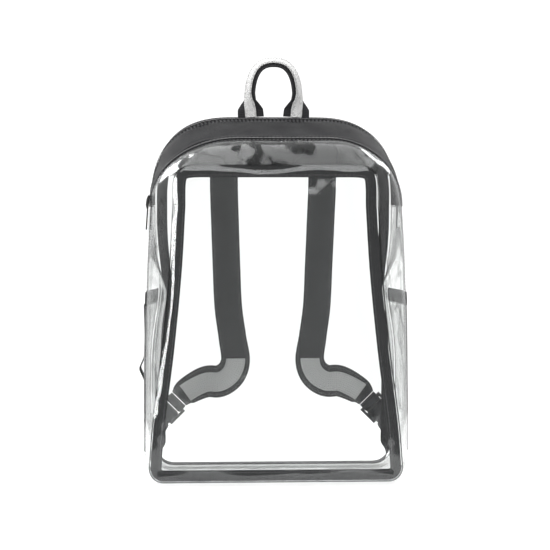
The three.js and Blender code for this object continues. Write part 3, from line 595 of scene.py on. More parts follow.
def tube(name, grid, loop=False, smooth_to=42):
    """A closed body over a grid whose columns run round it. Its ends are shut with fans, unless loop
    joins the last row to the first."""
    rows, columns = grid.shape[:2]
    points = grid.reshape(-1, 3)
    quads = quads_of(rows, columns, True, loop).reshape(-1, 4)
    uv = quad_uvs(grid, True, loop).reshape(-1, 4, 2)
    if signed_volume(points, quads) < 0:
        quads, uv = quads[:, ::-1], uv[:, ::-1]
        around = np.arange(columns)
    else:
        around = np.arange(columns)[::-1]
    faces = quads.tolist()
    uvs = [uv.reshape(-1, 2)]
    if not loop:
        for row, order in ((0, around[::-1]), (rows - 1, around)):
            middle = len(points)
            points = np.concatenate([points, grid[row].mean(0)[None]])
            ring = row * columns + order
            faces += [[middle, int(b), int(a)] for a, b in zip(ring, np.roll(ring, -1))]
            flat = np.stack([np.zeros(columns), np.linspace(0, 1, columns)], 1)
            uvs.append(np.repeat(flat, 3, 0))
    return mesh_object(name, points, faces, np.concatenate(uvs), smooth_to=smooth_to)


def wall(name, grid, thickness, loop=False, seam=None):
    """A closed wall: a grid as its outer face, the same grid moved in along its normals, and rims.
    The outer face is the one that looks away from the middle of the bag."""
    normals = grid_normals(grid, loop=loop)
    if np.einsum("ijk,ijk->", normals, grid - BAG_MIDDLE) < 0:
        grid = grid[:, ::-1]
        normals = -normals[:, ::-1]
        seam = None if seam is None else seam[:, ::-1]
    rows, columns = grid.shape[:2]
    count = rows * columns
    points = np.concatenate([grid.reshape(-1, 3), (grid - normals * thickness).reshape(-1, 3)])
    outer = quads_of(rows, columns, False, loop)
    uv = quad_uvs(grid, False, loop)
    faces = [outer.reshape(-1, 4), outer.reshape(-1, 4)[:, ::-1] + count]
    uvs = [uv.reshape(-1, 4, 2), uv.reshape(-1, 4, 2)[:, ::-1]]
    rims = [outer[:, 0, [0, 3]], outer[:, -1, [2, 1]]]
    if not loop:
        rims += [outer[0, :, [1, 0]].T, outer[-1, :, [3, 2]].T]
    for rim in rims:
        faces.append(np.concatenate([rim[:, ::-1], rim + count], 1)[:, [1, 0, 3, 2]])
        uvs.append(np.zeros((len(rim), 4, 2)))
    quads = np.concatenate(faces)
    uvs = np.concatenate(uvs)
    if signed_volume(points, quads) < 0:
        quads, uvs = quads[:, ::-1], uvs[:, ::-1]
    marks = None if seam is None else np.concatenate([seam.ravel(), seam.ravel()])
    return mesh_object(name, points, quads.tolist(), uvs.reshape(-1, 2), marks)


def swept_grid(middle, side, face, widths, heights):
    """Points of profiles carried along a path: each point is the path's own plus its width along side
    and its height along face."""
    return middle[:, None] + side[:, None] * widths[..., None] + face[:, None] * heights[..., None]


def flat_profile(width, thick):
    """A closed band profile with rounded edges: [across, through] points for each width and thickness."""
    turn = np.linspace(-np.pi / 2, np.pi / 2, 5)
    right = np.stack([0.5 + 0.5 * np.cos(turn), np.sin(turn)], 1)
    flat = np.stack([np.linspace(0.9, -0.9, 8), np.ones(8)], 1)
    s = np.concatenate([right, flat, -right, -flat])
    width, thick = np.broadcast_arrays(np.asarray(width, float), np.asarray(thick, float))
    edge = np.sign(s[:, 0]) * (np.abs(s[:, 0]) - 1)
    w = np.sign(s[:, 0]) * width[:, None] / 2 + edge * thick[:, None] / 2
    inside = np.abs(s[:, 0]) < 0.95
    w = np.where(inside, s[:, 0] * width[:, None] / 2, w)
    return w, s[:, 1] * thick[:, None] / 2


def path_frames(path, side):
    """Sides and faces square to a path and to each other."""
    tangent = unit(np.gradient(path, axis=0))
    face = unit(np.cross(tangent, side))
    return unit(np.cross(face, tangent)), face


def spline(points, count):
    """A centripetal Catmull-Rom curve through points, at even shares of its spans."""
    points = np.asarray(points, float)
    ends = [2 * points[0] - points[1], 2 * points[-1] - points[-2]]
    p = np.concatenate([ends[:1], points, ends[1:]])
    t = np.linspace(0, len(points) - 1, count)
    k = np.clip(t.astype(int), 0, len(points) - 2)
    w = (t - k)[:, None]
    p0, p1, p2, p3 = (p[k + n] for n in range(4))
    spans = (p0, p1), (p1, p2), (p2, p3)
    d0, d1, d2 = (np.linalg.norm(b - a, axis=1, keepdims=True) ** 0.5 for a, b in spans)
    m1 = ((p1 - p0) / d0 - (p2 - p0) / (d0 + d1) + (p2 - p1) / d1) * d1
    m2 = ((p2 - p1) / d1 - (p3 - p1) / (d1 + d2) + (p3 - p2) / d2) * d1
    start = (2 * w**3 - 3 * w**2 + 1) * p1 + (w**3 - 2 * w**2 + w) * m1
    return start + (3 * w**2 - 2 * w**3) * p2 + (w**3 - w**2) * m2


def evenly(path, pitch, *others):
    """A path and the arrays that go with it, resampled at equal lengths."""
    walked = np.concatenate([[0], np.cumsum(np.linalg.norm(np.diff(path, axis=0), axis=1))])
    count = max(2, int(walked[-1] / pitch) + 1)
    at = np.linspace(0, walked[-1], count)
    return [np.stack([np.interp(at, walked, column) for column in a.T], 1) for a in (path, *others)]


def capsule(length, width, height, rings=4, sides=6):
    """A small bar with rounded ends, its length along x, its underside on z = 0."""
    t = np.linspace(-1, 1, rings)
    girth = np.sqrt(np.maximum(0.12, 1 - np.abs(t) ** 3))
    turn = np.linspace(0, 2 * np.pi, sides, endpoint=False)
    x = np.repeat(t[:, None] * length / 2, sides, 1)
    y = girth[:, None] * np.cos(turn) * width / 2
    z = height / 2 + girth[:, None] * np.sin(turn) * height / 2
    points = np.stack([x, y, z], -1).reshape(-1, 3)
    faces = quads_of(rings, sides, True, False).reshape(-1, 4).tolist()
    faces += [list(range(sides)), list(range(rings * sides - 1, (rings - 1) * sides - 1, -1))]
    return points, faces


def repeated(name, shape, at, along, out):
    """Copies of a small shape as one mesh: its x goes along, its z goes out, and it stands on each point."""
    points, faces = shape
    across = unit(np.cross(out, along))
    out = unit(np.cross(along, across))
    axes = (unit(along), across, out)
    copies = at[:, None] + sum(points[None, :, k, None] * axis[:, None] for k, axis in enumerate(axes))
    count = len(points)
    all_faces = [[k + n * count for k in face] for n in range(len(at)) for face in faces]
    uv = np.zeros((sum(map(len, all_faces)), 2))
    return mesh_object(name, copies.reshape(-1, 3), all_faces, uv)


def stitched(name, paths, outs, size=STITCH):
    """Rows of stitches: one small bar for each pitch along each path, standing on its surface."""
    at, along, out = [], [], []
    for path, normal in zip(paths, outs):
        path, normal = evenly(path, size["pitch"], normal)
        at.append(path)
        along.append(unit(np.gradient(path, axis=0)))
        out.append(normal)
    shape = capsule(size["length"], size["thread"], size["thread"] * 0.7)
    return repeated(name, shape, np.concatenate(at), np.concatenate(along), np.concatenate(out))


# Surfaces of the bag


def front_gusset_grid(shares):
    """The clear band between the front seam and the front zip line. Its outline turns from one seam's
    to the other's by a power of the share of depth. It is rippled most at the top corners, and has a
    low roll along the zip."""
    front, zip_line = whole_outline(FRONT_SEAM), whole_outline(ZIP_SEAM)
    t = np.asarray(shares)[:, None]
    still = (1 - t) ** GUSSET_ROUNDING
    x = zip_line[:, 0] + (front[:, 0] - zip_line[:, 0]) * still
    z = zip_line[:, 1] + (front[:, 1] - zip_line[:, 1]) * still
    start = front_y(front[:, 1]) + SHEET + GAP
    walk = np.linspace(0, FRONT_ROUND, len(front))
    open_part = np.sin(np.pi * np.clip(t, 0, 1)) ** 0.8
    high = smooth_step(front[:, 1], FRONT_WAVE["from"], FRONT_WAVE["to"])
    height = FRONT_WAVE["height"] + FRONT_WAVE["more"] * high
    wave = ripples(walk, t * FRONT_DEPTH, "front_gusset") * height
    corner = np.exp(-(((np.abs(front[:, 0]) - CORNER_FOLD["across"]) / CORNER_FOLD["reach"]) ** 2))
    corner = corner * smooth_step(front[:, 1], CORNER_FOLD["from"], CORNER_FOLD["to"])
    fold = ripples(walk, t * FRONT_DEPTH, "corner_fold") * CORNER_FOLD["height"] * corner
    hem = HEM_HEIGHT * np.sin(np.pi * np.clip((t - 1 + HEM_SHARE) / HEM_SHARE, 0, 1))
    push = open_part * (wave + fold) + hem
    out = outwards(zip_line)
    rise = z + out[:, 1] * push * smooth_step(z, *FLOOR_CLEAR)
    return softened(np.stack([x + out[:, 0] * push, start * (1 - t) + 0 * x, rise], -1))


def main_gusset_grid(outline_of, depths, form):
    """The band between the front zip line and the back seam, on straight lines from seam to seam plus
    a half sine over the depth times form(height, share, walk)."""
    zip_line, back = outline_of(ZIP_SEAM), outline_of(BACK_SEAM)
    out = outwards(zip_line, closed=False)
    share = np.asarray(depths)[:, None] / MAIN_DEPTH
    x = zip_line[:, 0] + (back[:, 0] - zip_line[:, 0]) * share
    z = zip_line[:, 1] + (back[:, 1] - zip_line[:, 1]) * share
    walk = np.concatenate([[0], np.cumsum(np.linalg.norm(np.diff(zip_line, axis=0), axis=1))])
    push = np.sin(np.pi * share) * form(z, share, walk[None])
    over = zip_line[:, 1] > SHOULDER_HEIGHT
    grid = np.stack([x + out[:, 0] * push, share * MAIN_DEPTH + 0 * x, z + out[:, 1] * push * over], -1)
    return softened(grid)


def side_form(z, share, walk):
    """The sides: bulged at the shoulders and pressed in behind the pockets, with a few soft ripples."""
    up = z / SHOULDER_HEIGHT
    still = np.clip((z - SIDE_STILL["below"]) / SIDE_STILL["over"], 0, 1)
    wave = ripples(walk, share * RIPPLE_DEPTH, "side_gusset") * SIDE_WAVE * still
    bulge = GUSSET_BULGE * straight_rows(SIDE_FORM, "bulge", up)
    return bulge - POCKET_DENT * straight_rows(SIDE_FORM, "dent", up) + wave


def top_form(z, share, walk):
    """The top under the zips: a plain bulge."""
    return GUSSET_BULGE + 0 * z + 0 * walk


def nylon_form(z, share, walk):
    """The nylon top: the bulge with slack between the zips and puckers beside them."""
    slack = ripples(walk, share * RIPPLE_DEPTH, "nylon_slack") * NYLON_SLACK
    pucker = ripples(walk, share * RIPPLE_DEPTH, "nylon_pucker") * NYLON_PUCKER
    return GUSSET_BULGE + slack + pucker * np.abs(np.cos(np.pi * share))


def edged(count):
    """Shares from 0 to 1 that lie closer together near both ends."""
    return (1 - np.cos(np.linspace(0, np.pi, count))) / 2


def panel_grid(seam, face, low, high, wave, kind, side_steps=90, up_steps=150):
    """A panel within a seam between two heights: across is a share of the half width at each height,
    and the depth is the crowned face plus ripples that die out at the edge."""
    across = 2 * edged(side_steps) - 1
    z = low + (high - low) * edged(up_steps)
    x = seam["shift"] + across[None] * half_at(seam, z)[:, None]
    zz = z[:, None] + 0 * x
    hem = np.clip((z - low) / PANEL_HEM, 0, 1) * np.clip((high - z) / PANEL_HEM, 0, 1)
    y = face(x, zz) + wave * ripples(x, zz, kind) * (1 - np.abs(across[None]) ** 8) * hem[:, None]
    return softened(np.stack([x, y, zz], -1))


def edge_marks(grid, loop=False):
    """1 at a wall's edges, falling to 0 at a distance of SEAM_REACH from them."""
    across = lengths(grid, 1, False)
    marks = np.clip(1 - np.minimum(across, across[-1] - across) / SEAM_REACH, 0, 1)
    marks = marks[None] + np.zeros(grid.shape[:2])
    if loop:
        return marks
    along = lengths(grid, 0, False)
    up = np.clip(1 - np.minimum(along, along[-1] - along) / SEAM_REACH, 0, 1)[:, None]
    return np.maximum(marks, up)


def tape_line(seam, edge, face, width, deep, lay):
    """A line on a binding tape, at a width in from its outer edge and a depth behind its face. Where lay
    falls to 0 the tape is turned onto the bottom, and its width runs forwards."""
    outline = whole_outline(seam)
    share = lay(outline[:, 1])
    flat = outline - outwards(outline) * (edge + width * share)[:, None]
    line = flat - outwards(outline) * (deep * (1 - share))[:, None]
    y = face(*flat.T) - width * (1 - share) + deep * share
    return softened(np.stack([line[:, 0], y, line[:, 1]], 1))


def tape_grid(seam, edge, face, crown_height, lay):
    """A binding tape as a band profile carried round its seam, with a slight crown."""
    s = np.linspace(0, 1, 9)
    bump = crown_height * (1 - (2 * s - 1) ** 2)
    profile = [*zip(s, -bump), *zip(s[::-1], CLOTH - bump)]
    return np.stack([tape_line(seam, edge, face, BINDING_WIDTH * k, deep, lay) for k, deep in profile], 1)


# Finishes


class Nodes:
    """A material's or a world's node tree, filled in by short calls."""

    def __init__(self, owner):
        self.owner = owner
        owner.use_nodes = True
        self.tree = owner.node_tree
        self.tree.nodes.clear()

    def add(self, kind, inputs=None, **settings):
        """A node with its settings, and its inputs set to values or linked from sockets."""
        made = self.tree.nodes.new(kind)
        for name, value in settings.items():
            setattr(made, name, value)
        for key, value in (inputs or {}).items():
            if isinstance(value, bpy.types.NodeSocket):
                self.tree.links.new(value, made.inputs[key])
            else:
                made.inputs[key].default_value = value
        return made

    def math(self, operation, *values):
        """The result of a math node."""
        return self.add("ShaderNodeMath", dict(enumerate(values)), operation=operation).outputs[0]

    def where(self, kind):
        """The three parts of one of the texture coordinates."""
        place = self.add("ShaderNodeTexCoord").outputs[kind]
        return self.add("ShaderNodeSeparateXYZ", {0: place}).outputs

    def wave(self, value, pitch):
        """A sine along a length, with a pitch in metres, from 0 to 1."""
        turn = self.math("MULTIPLY", value, 2 * math.pi / pitch)
        return self.math("MULTIPLY_ADD", self.math("SINE", turn), 0.5, 0.5)

    def noise(self, scale, detail, roughness, stretch=None):
        """Noise on Object coordinates, which may be stretched."""
        where = self.add("ShaderNodeTexCoord").outputs["Object"]
        if stretch:
            where = self.add("ShaderNodeMapping", {"Vector": where, "Scale": stretch}).outputs[0]
        inputs = {"Vector": where, "Scale": scale, "Detail": detail, "Roughness": roughness}
        return self.add("ShaderNodeTexNoise", inputs).outputs["Fac"]

    def colours(self, factor, low, high):
        """Two colours mixed by a factor."""
        mix = self.add("ShaderNodeMix", {0: factor, 6: (*low, 1), 7: (*high, 1)}, data_type="RGBA")
        return mix.outputs[2]

    def range(self, value, low, high, to_low, to_high):
        """A value mapped from one range to another, and kept in it."""
        inputs = {0: value, 1: low, 2: high, 3: to_low, 4: to_high}
        return self.add("ShaderNodeMapRange", inputs).outputs[0]

    def bump(self, height, distance):
        """A bump by a height from 0 to 1 times a distance in metres."""
        inputs = {"Height": height, "Distance": distance, "Strength": 1.0}
        return self.add("ShaderNodeBump", inputs).outputs[0]

    def surface(self, inputs):
        """A Principled surface as the output."""
        shader = self.add("ShaderNodeBsdfPrincipled", inputs)
        self.add("ShaderNodeOutputMaterial", {0: shader.outputs[0]})
        return self.owner


def new_material(name):
    """An empty node tree in a material of its own."""
    return Nodes(bpy.data.materials.new(name))


def times(colour, share):
    """A colour made brighter or darker."""
    return tuple(share * part for part in colour)


def clear_finish(name, tint, haze, crease_shade=0.0):
    """Clear vinyl: see-through with a tint that deepens where it is seen edge on and at its seams, with
    painted shade as dark crease lines, and mirrored by Fresnel, with soft ripples and faint scuffs."""
    n = new_material(name)
    facing = n.add("ShaderNodeLayerWeight", {"Blend": 0.5}).outputs["Facing"]
    seam = n.add("ShaderNodeAttribute", attribute_name="seam").outputs["Fac"]
    edge = n.math("MULTIPLY", n.math("POWER", seam, 2.0), SHEET_SEAM)
    depth = n.math("MULTIPLY_ADD", n.math("POWER", facing, 6.0), SHEET_EDGE_ON, edge)
    # Painted shade: dark lines from noise along crease lines deepen the tint, fading in with height above the
    # floor.
    if crease_shade:
        field = n.noise(26, 3, 0.5, stretch=(1, 1, 0.22))
        off = n.math("ABSOLUTE", n.math("SUBTRACT", field, 0.5))
        line = n.range(off, 0.0, CREASE_WIDTH, 1.0, 0.0)
        upright = n.range(n.where("Object")[2], *CREASE_FADE, 0.0, crease_shade)
        depth = n.math("MULTIPLY_ADD", line, upright, depth)
    through = n.colours(n.math("MINIMUM", depth, 1.0), tint, times(tint, SHEET_DARKEST))
    glass = n.add("ShaderNodeBsdfTransparent", {0: through})
    scuffs = n.noise(900, 2, 0.6, stretch=(1, 1, 0.08))
    normal = n.bump(n.math("MULTIPLY_ADD", scuffs, 0.006, n.noise(22, 2, 0.45)), SHEET_BUMP)
    turned = n.add("ShaderNodeLayerWeight", {"Blend": 0.5, "Normal": normal}).outputs["Facing"]
    fresnel = n.math("MULTIPLY_ADD", n.math("POWER", turned, 5.0), 1 - SHEET_MIRROR, SHEET_MIRROR)
    patches = n.range(n.noise(7, 2, 0.5), 0.45, 0.75, 0.0, haze)
    share = n.math("MINIMUM", n.math("ADD", fresnel, patches), 1.0)
    gloss = n.add("ShaderNodeBsdfPrincipled", {
        "Base Color": (0.95, 0.96, 0.96, 1), "Metallic": 0.92, "Roughness": 0.055, "Normal": normal,
    })
    both = n.add("ShaderNodeMixShader", {0: share, 1: glass.outputs[0], 2: gloss.outputs[0]})
    n.add("ShaderNodeOutputMaterial", {0: both.outputs[0]})
    return n.owner


def nylon_finish(name, colour, sheen):
    """Coated plain-weave nylon: a fine two-way weave, a slow change of shade and a soft sheen."""
    n = new_material(name)
    u, v, _ = n.where("UV")
    weave = n.math("MULTIPLY", n.wave(u, NYLON_PITCH), n.wave(v, NYLON_PITCH))
    slack = n.noise(30, 4, 0.55)
    fine = n.math("MULTIPLY", n.noise(480, 2, 0.6), 0.35)
    mottle = n.math("MULTIPLY_ADD", n.noise(60, 4, 0.6), 0.5, fine)
    shade = n.math("MULTIPLY_ADD", weave, 0.3, mottle)
    height = n.math("MULTIPLY_ADD", slack, 4.0, weave)
    return n.surface({
        "Base Color": n.colours(shade, times(colour, 0.35), times(colour, 1.9)),
        "Roughness": n.range(slack, 0.3, 0.7, 0.5, 0.7),
        "Specular IOR Level": 0.14,
        "Sheen Weight": sheen,
        "Sheen Roughness": 0.4,
        "Normal": n.bump(height, 0.00035),
    })


def ribbed_finish(name, colour, rib, lines=0.0014, sheen=0.12, high=1.8, gloss=0.15):
    """Grosgrain, tape or webbing: ribs across its length, with fine lengthwise yarns between them."""
    n = new_material(name)
    u, v, _ = n.where("UV")
    ribs = n.wave(u, rib)
    yarns = n.wave(n.math("ADD", v, n.math("MULTIPLY", ribs, lines / 4)), lines)
    height = n.math("MULTIPLY_ADD", yarns, 0.35, ribs)
    wear = n.noise(160, 3, 0.6)
    shade = n.math("MULTIPLY_ADD", height, 0.45, n.math("MULTIPLY", wear, 0.4))
    return n.surface({
        "Base Color": n.colours(shade, times(colour, 0.55), times(colour, high)),
        "Roughness": n.range(wear, 0.3, 0.7, 0.55, 0.75),
        "Specular IOR Level": gloss,
        "Sheen Weight": sheen,
        "Sheen Roughness": 0.45,
        "Normal": n.bump(height, 0.00035),
    })


def herringbone_finish(name, colour, dark):
    """Grey webbing in herringbone: slanting yarns that turn at the edges of narrow columns, with specks
    of a darker yarn."""
    n = new_material(name)
    u, v, _ = n.where("UV")
    slant = n.math("PINGPONG", v, HERRINGBONE["column"])
    yarn = n.wave(n.math("ADD", u, slant), HERRINGBONE["yarn"])
    specks = n.range(n.noise(620, 2, 0.6), 0.5, 0.6, 0.0, 0.75)
    gaps = n.math("MULTIPLY", n.range(yarn, 0.1, 0.5, 1.0, 0.0), 0.6)
    mark = n.math("MAXIMUM", gaps, specks)
    return n.surface({
        "Base Color": n.colours(mark, colour, dark),
        "Roughness": n.range(yarn, 0.0, 1.0, 0.85, 0.7),
        "Sheen Weight": 0.15,
        "Sheen Roughness": 0.5,
        "Normal": n.bump(yarn, 0.0003),
    })


def mesh_finish(name, colour):
    """Air mesh: rows of small round holes in a knitted face."""
    n = new_material(name)
    u, v, _ = n.where("UV")
    holes = n.math("MULTIPLY", n.wave(u, MESH_PITCH), n.wave(v, MESH_PITCH))
    fuzz = n.noise(700, 3, 0.6)
    shade = n.math("MULTIPLY_ADD", fuzz, 0.35, n.range(holes, 0.35, 0.8, 0.6, 0.0))
    return n.surface({
        "Base Color": n.colours(shade, times(colour, 0.4), colour),
        "Roughness": n.range(fuzz, 0.3, 0.7, 0.8, 0.95),
        "Sheen Weight": 0.2,
        "Normal": n.bump(n.math("SUBTRACT", 1.0, holes), 0.0005),
    })


def hard_finish(name, colour, rough, grain, depth, metallic=0):
    """Moulded plastic or enamel: a fine grain, and a gloss that varies a little."""
    n = new_material(name)
    fine = n.noise(grain, 2, 0.5)
    wear = n.noise(90, 4, 0.6)
    return n.surface({
        "Base Color": n.colours(wear, times(colour, 0.8), times(colour, 1.3)),
        "Metallic": metallic,
        "Roughness": n.range(wear, 0.3, 0.7, rough * 0.85, rough * 1.2),
        "Normal": n.bump(fine, depth),
    })


def floor_finish(name, colour):
    """Pale, even paper."""
    n = new_material(name)
    tone = n.noise(3, 2, 0.5)
    return n.surface({
        "Base Color": n.colours(tone, times(colour, 0.985), colour),
        "Roughness": n.range(tone, 0.3, 0.7, 0.85, 0.95),
        "Emission Color": (1, 1, 1, 1),
        "Emission Strength": FLOOR_GLOW,
    })


FINISHES = {}


def finish(piece, key, slot, *nodes):
    """Gives a piece its material, makes it ride on the bag and stand for its nodes. Its slot is not used."""
    piece.data.materials.clear()
    piece.data.materials.append(FINISHES[key])
    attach(piece, "root")
    if nodes:
        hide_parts(*nodes)


# Pieces


def make_front_panel(sizes):
    """The clear front, rolled over its binding."""
    low, high = FRONT_SEAM["base"], FRONT_SEAM["top"]
    grid = panel_grid(FRONT_SEAM, rolled_front, low, high, sizes.sheet_ripple, "front_panel", 150, 190)
    piece = wall("clear_front_panel", grid, SHEET, seam=edge_marks(grid))
    finish(piece, "sheet", "clear_sheet", "front_panel")


def make_gussets():
    """The clear band round the front, with stitches along its zip, and the clear U of sides and bottom."""
    hem = 1 - HEM_SHARE
    shares = edged(30)
    shares = np.append(shares[shares < hem - 0.01], np.linspace(hem, 1, 9))
    grid = front_gusset_grid(shares).transpose(1, 0, 2)
    piece = wall("clear_front_gusset", grid, SHEET, loop=True, seam=edge_marks(grid, loop=True))
    finish(piece, "crease_shaded", "clear_sheet", "front_gusset")
    line = front_gusset_grid([1 - HEM_SHARE, 1 - HEM_SHARE * 0.9, 1 - HEM_SHARE * 0.8])
    normals = facing_out(line[1], grid_normals(line, ring=True)[1])
    path = line[1] + normals * ON_CLOTH
    finish(stitched("front_gusset_stitches", [path], [normals]), "thread", "clear_sheet")
    depths = GAP + (REAR_EDGE - GAP) * edged(30)
    grid = main_gusset_grid(lower_outline, depths, side_form).transpose(1, 0, 2)
    piece = wall("clear_side_gusset", grid, SHEET, seam=edge_marks(grid))
    finish(piece, "crease_shaded", "clear_sheet", "side_gusset")


def make_back(sizes):
    """The clear back panel and the nylon yoke over it, with two rows of stitches where they join."""
    low, high = BACK_SEAM["base"], BACK_SEAM["top"]
    grid = panel_grid(BACK_SEAM, back_face, low, YOKE_EDGE - GAP, -sizes.sheet_ripple, "back_panel")
    piece = wall("clear_back_panel", grid, SHEET, seam=edge_marks(grid))
    finish(piece, "sheet", "clear_sheet", "back_panel")
    grid = panel_grid(BACK_SEAM, back_face, YOKE_EDGE, high, YOKE_WAVE, "back_yoke", up_steps=60)
    finish(wall("nylon_yoke", grid, SHEET), "nylon", "black_nylon", "back_yoke")
    paths = []
    for row in YOKE_ROWS:
        z = YOKE_EDGE + row
        x = np.linspace(-0.96, 0.96, 60) * half_at(BACK_SEAM, z)
        paths.append(softened(np.stack([x, back_face(x, z) + ON_YOKE, np.full_like(x, z)], 1)))
    rows = stitched("yoke_stitches", paths, [np.tile([0.0, 1, 0], (60, 1))] * 2)
    finish(rows, "thread", "black_nylon")


def front_tape_face(x, z):
    """The outer face of the front's binding, behind the panel."""
    return front_face(x, z) + SHEET + 2 * GAP + TAPE_CROWN


def back_tape_face(x, z):
    """The inner face of the back's binding, in front of the panel."""
    return back_face(x, z) - SHEET - 2 * GAP - CLOTH


def turned_upright(z):
    """The share by which the back's binding stands up, from flat on the bottom to upright."""
    return smooth_step(z, *BINDING_TURN)


def make_binding(name, node, seam, edge, face, sign, lay, crown_height, row_depth):
    """Grosgrain over a seam inside the bag, with its row of stitches."""
    grid = tape_grid(seam, edge, face, crown_height, lay)
    finish(tube(name, grid, loop=True), "grosgrain", "black_tape", node)
    path = tape_line(seam, edge, face, BINDING_WIDTH - BINDING_ROW, row_depth, lay)
    rows = stitched(name + "_stitches", [path], [np.tile([0.0, sign, 0], (len(path), 1))])
    finish(rows, "thread", "black_tape")


def make_bindings():
    """The front's binding and the back's, which lies flat along the bottom."""
    make_binding("front_seam_tape", "front_binding", FRONT_SEAM, SHEET + 2 * GAP, front_tape_face, -1,
                 np.ones_like, TAPE_CROWN, IN_TAPE)
    make_binding("back_seam_tape", "back_binding", BACK_SEAM, SHEET + 6 * GAP, back_tape_face, 1,
                 turned_upright, 0, CLOTH)


def arch_line(depth, lift, form=top_form):
    """A line over the top at one depth behind the zip line, lifted off the surface, with its normals."""
    grid = main_gusset_grid(upper_outline, [depth - 0.5, depth, depth + 0.5], form)
    normals = facing_out(grid[1], grid_normals(grid)[1], [0, depth, SHOULDER_HEIGHT])
    return grid[1] + normals * lift, normals


def make_black_top():
    """The nylon between the two zips, with a row of stitches along each."""
    depths = FRONT_TAPE + GAP + (REAR_EDGE - REAR_TAPE - FRONT_TAPE - 2 * GAP) * edged(40)
    grid = main_gusset_grid(upper_outline, depths, nylon_form).transpose(1, 0, 2)
    finish(wall("nylon_top", grid, CLOTH), "nylon", "black_nylon", "top_gusset")
    rows = (depths[0] + NYLON_ROW, depths[-1] - NYLON_ROW)
    rows = stitched("nylon_top_stitches", *zip(*[arch_line(depth, ON_NYLON, nylon_form) for depth in rows]))
    finish(rows, "thread", "black_nylon")


def make_zip(name, start, end, tape_node, coil_node):
    """A zip over the top: its tape with rows of stitches, and the turns of its coil, each a bar with
    rounded ends across the tape that reaches past the middle from its own side."""
    grid = main_gusset_grid(upper_outline, np.linspace(start, end, 14), top_form).transpose(1, 0, 2)
    finish(wall(name + "_tape", grid, CLOTH), "zip_tape", "zip_tape", tape_node)
    middle = (start + end) / 2
    line, normals = arch_line(middle, GAP)
    line, normals = evenly(line, COIL_PITCH, normals)
    side = np.where(np.arange(len(line)) % 2 == 0, -1.0, 1.0)
    at = line + side[:, None] * np.array([0, COIL_WIDTH * TOOTH["beside"], 0])
    across = np.tile([0.0, 1, 0], (len(line), 1))
    tooth = capsule(COIL_WIDTH * TOOTH["length"], TOOTH["width"], COIL_HEIGHT, rings=6, sides=8)
    teeth = repeated(name + "_teeth", tooth, at, across, unit(normals))
    finish(teeth, "coil", "zip_coil", coil_node)
    depths = [start + ZIP_ROW, end - ZIP_ROW]
    if end - start > 3 * COIL_WIDTH:
        depths += [middle - COIL_WIDTH / 2 - COIL_ROW, middle + COIL_WIDTH / 2 + COIL_ROW]
    lines = [arch_line(depth, ON_CLOTH) for depth in depths]
    rows = stitched(name + "_stitches", *zip(*lines), ZIP_STITCH)
    finish(rows, "zip_thread", "zip_tape")


def make_zips():
    """Both zips over the top."""
    make_zip("front_zip", GAP, FRONT_TAPE, "front_zipper", "front_zip_coil")
    make_zip("rear_zip", REAR_EDGE - REAR_TAPE, REAR_EDGE, "rear_zipper", "rear_zip_coil")


def rounded_copy(node, name, width, segments):
    """A node's own mesh with its doubles merged and its edges rounded."""
    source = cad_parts[node]
    mesh = source.data.copy()
    mesh.name = name
    mesh.transform(source.matrix_world)
    form = bmesh.new()
    form.from_mesh(mesh)
    bmesh.ops.remove_doubles(form, verts=form.verts, dist=1e-6)
    bmesh.ops.dissolve_limit(form, angle_limit=math.radians(1), verts=form.verts, edges=form.edges)
    form.to_mesh(mesh)
    form.free()
    piece = bpy.data.objects.new(name, mesh)
    bpy.context.scene.collection.objects.link(piece)
    bevel = piece.modifiers.new("rounding", "BEVEL")
    bevel.width = width * MM
    bevel.segments = segments
    bevel.limit_method = "ANGLE"
    bevel.angle_limit = math.radians(35)
    return piece


def make_sliders():
    """The zip sliders with their pulls, rounded like castings."""
    for name in ("front_zip_slider", "rear_zip_slider"):
        finish(rounded_copy(name, name + "_cast", ROUNDING["slider"], 3), "enamel", "zip_metal", name)


def pocket_grid(side, low, high, rows, depths, slack):
    """A pocket's face from seam to seam: straight from the zip line to the back seam plus a half sine,
    growing with height, and vertical folds in the sheet."""
    z = np.linspace(low, high, rows)[:, None]
    y = depths[None]
    share = y / MAIN_DEPTH
    zip_half, back_half = half_at(ZIP_SEAM, z), half_at(BACK_SEAM, z)
    edge = zip_half + (back_half - zip_half) * share
    opened = np.sin(np.pi * share) * smooth_step(z, 0, POCKET_HEIGHT / 2)
    folds = slack * np.sin(np.pi * share) * ripples(y + 0 * z, z + 0 * y, f"pocket_{side}")
    x = dict(SIDES)[side] * (edge + 2 * GAP + SHEET + POCKET_BULGE * opened + folds)
    return softened(np.stack([x, y + 0 * x, z + 0 * x], -1))


def make_pockets():
    """The clear side pockets, with their elastic bands gathered in fine puckers."""
    depth = REAR_EDGE - 4 * GAP
    for side, sign in SIDES:
        depths = 2 * GAP + depth * edged(50)
        grid = pocket_grid(side, POCKET_HEM, POCKET_BAND_EDGE - GAP, 90, depths, POCKET_SLACK)
        piece = wall(f"clear_pocket_{side}", grid, SHEET, seam=edge_marks(grid))
        finish(piece, "sheet", "clear_sheet", f"side_pocket_{side}")
        depths = 2 * GAP + depth * np.linspace(0, 1, 150)
        grid = pocket_grid(side, POCKET_BAND_EDGE, POCKET_HEIGHT, 24, depths, 0)
        gathered = np.sin(2 * np.pi * depths / ELASTIC_PUCKER["pitch"])
        full = np.sin(np.pi * np.linspace(0, 1, 24)) ** 0.6
        grid[..., 0] += sign * ELASTIC_PUCKER["height"] * gathered * full[:, None]
        piece = wall(f"pocket_elastic_{side}", grid, SHEET)
        finish(piece, "elastic", "black_tape", f"pocket_band_{side}")


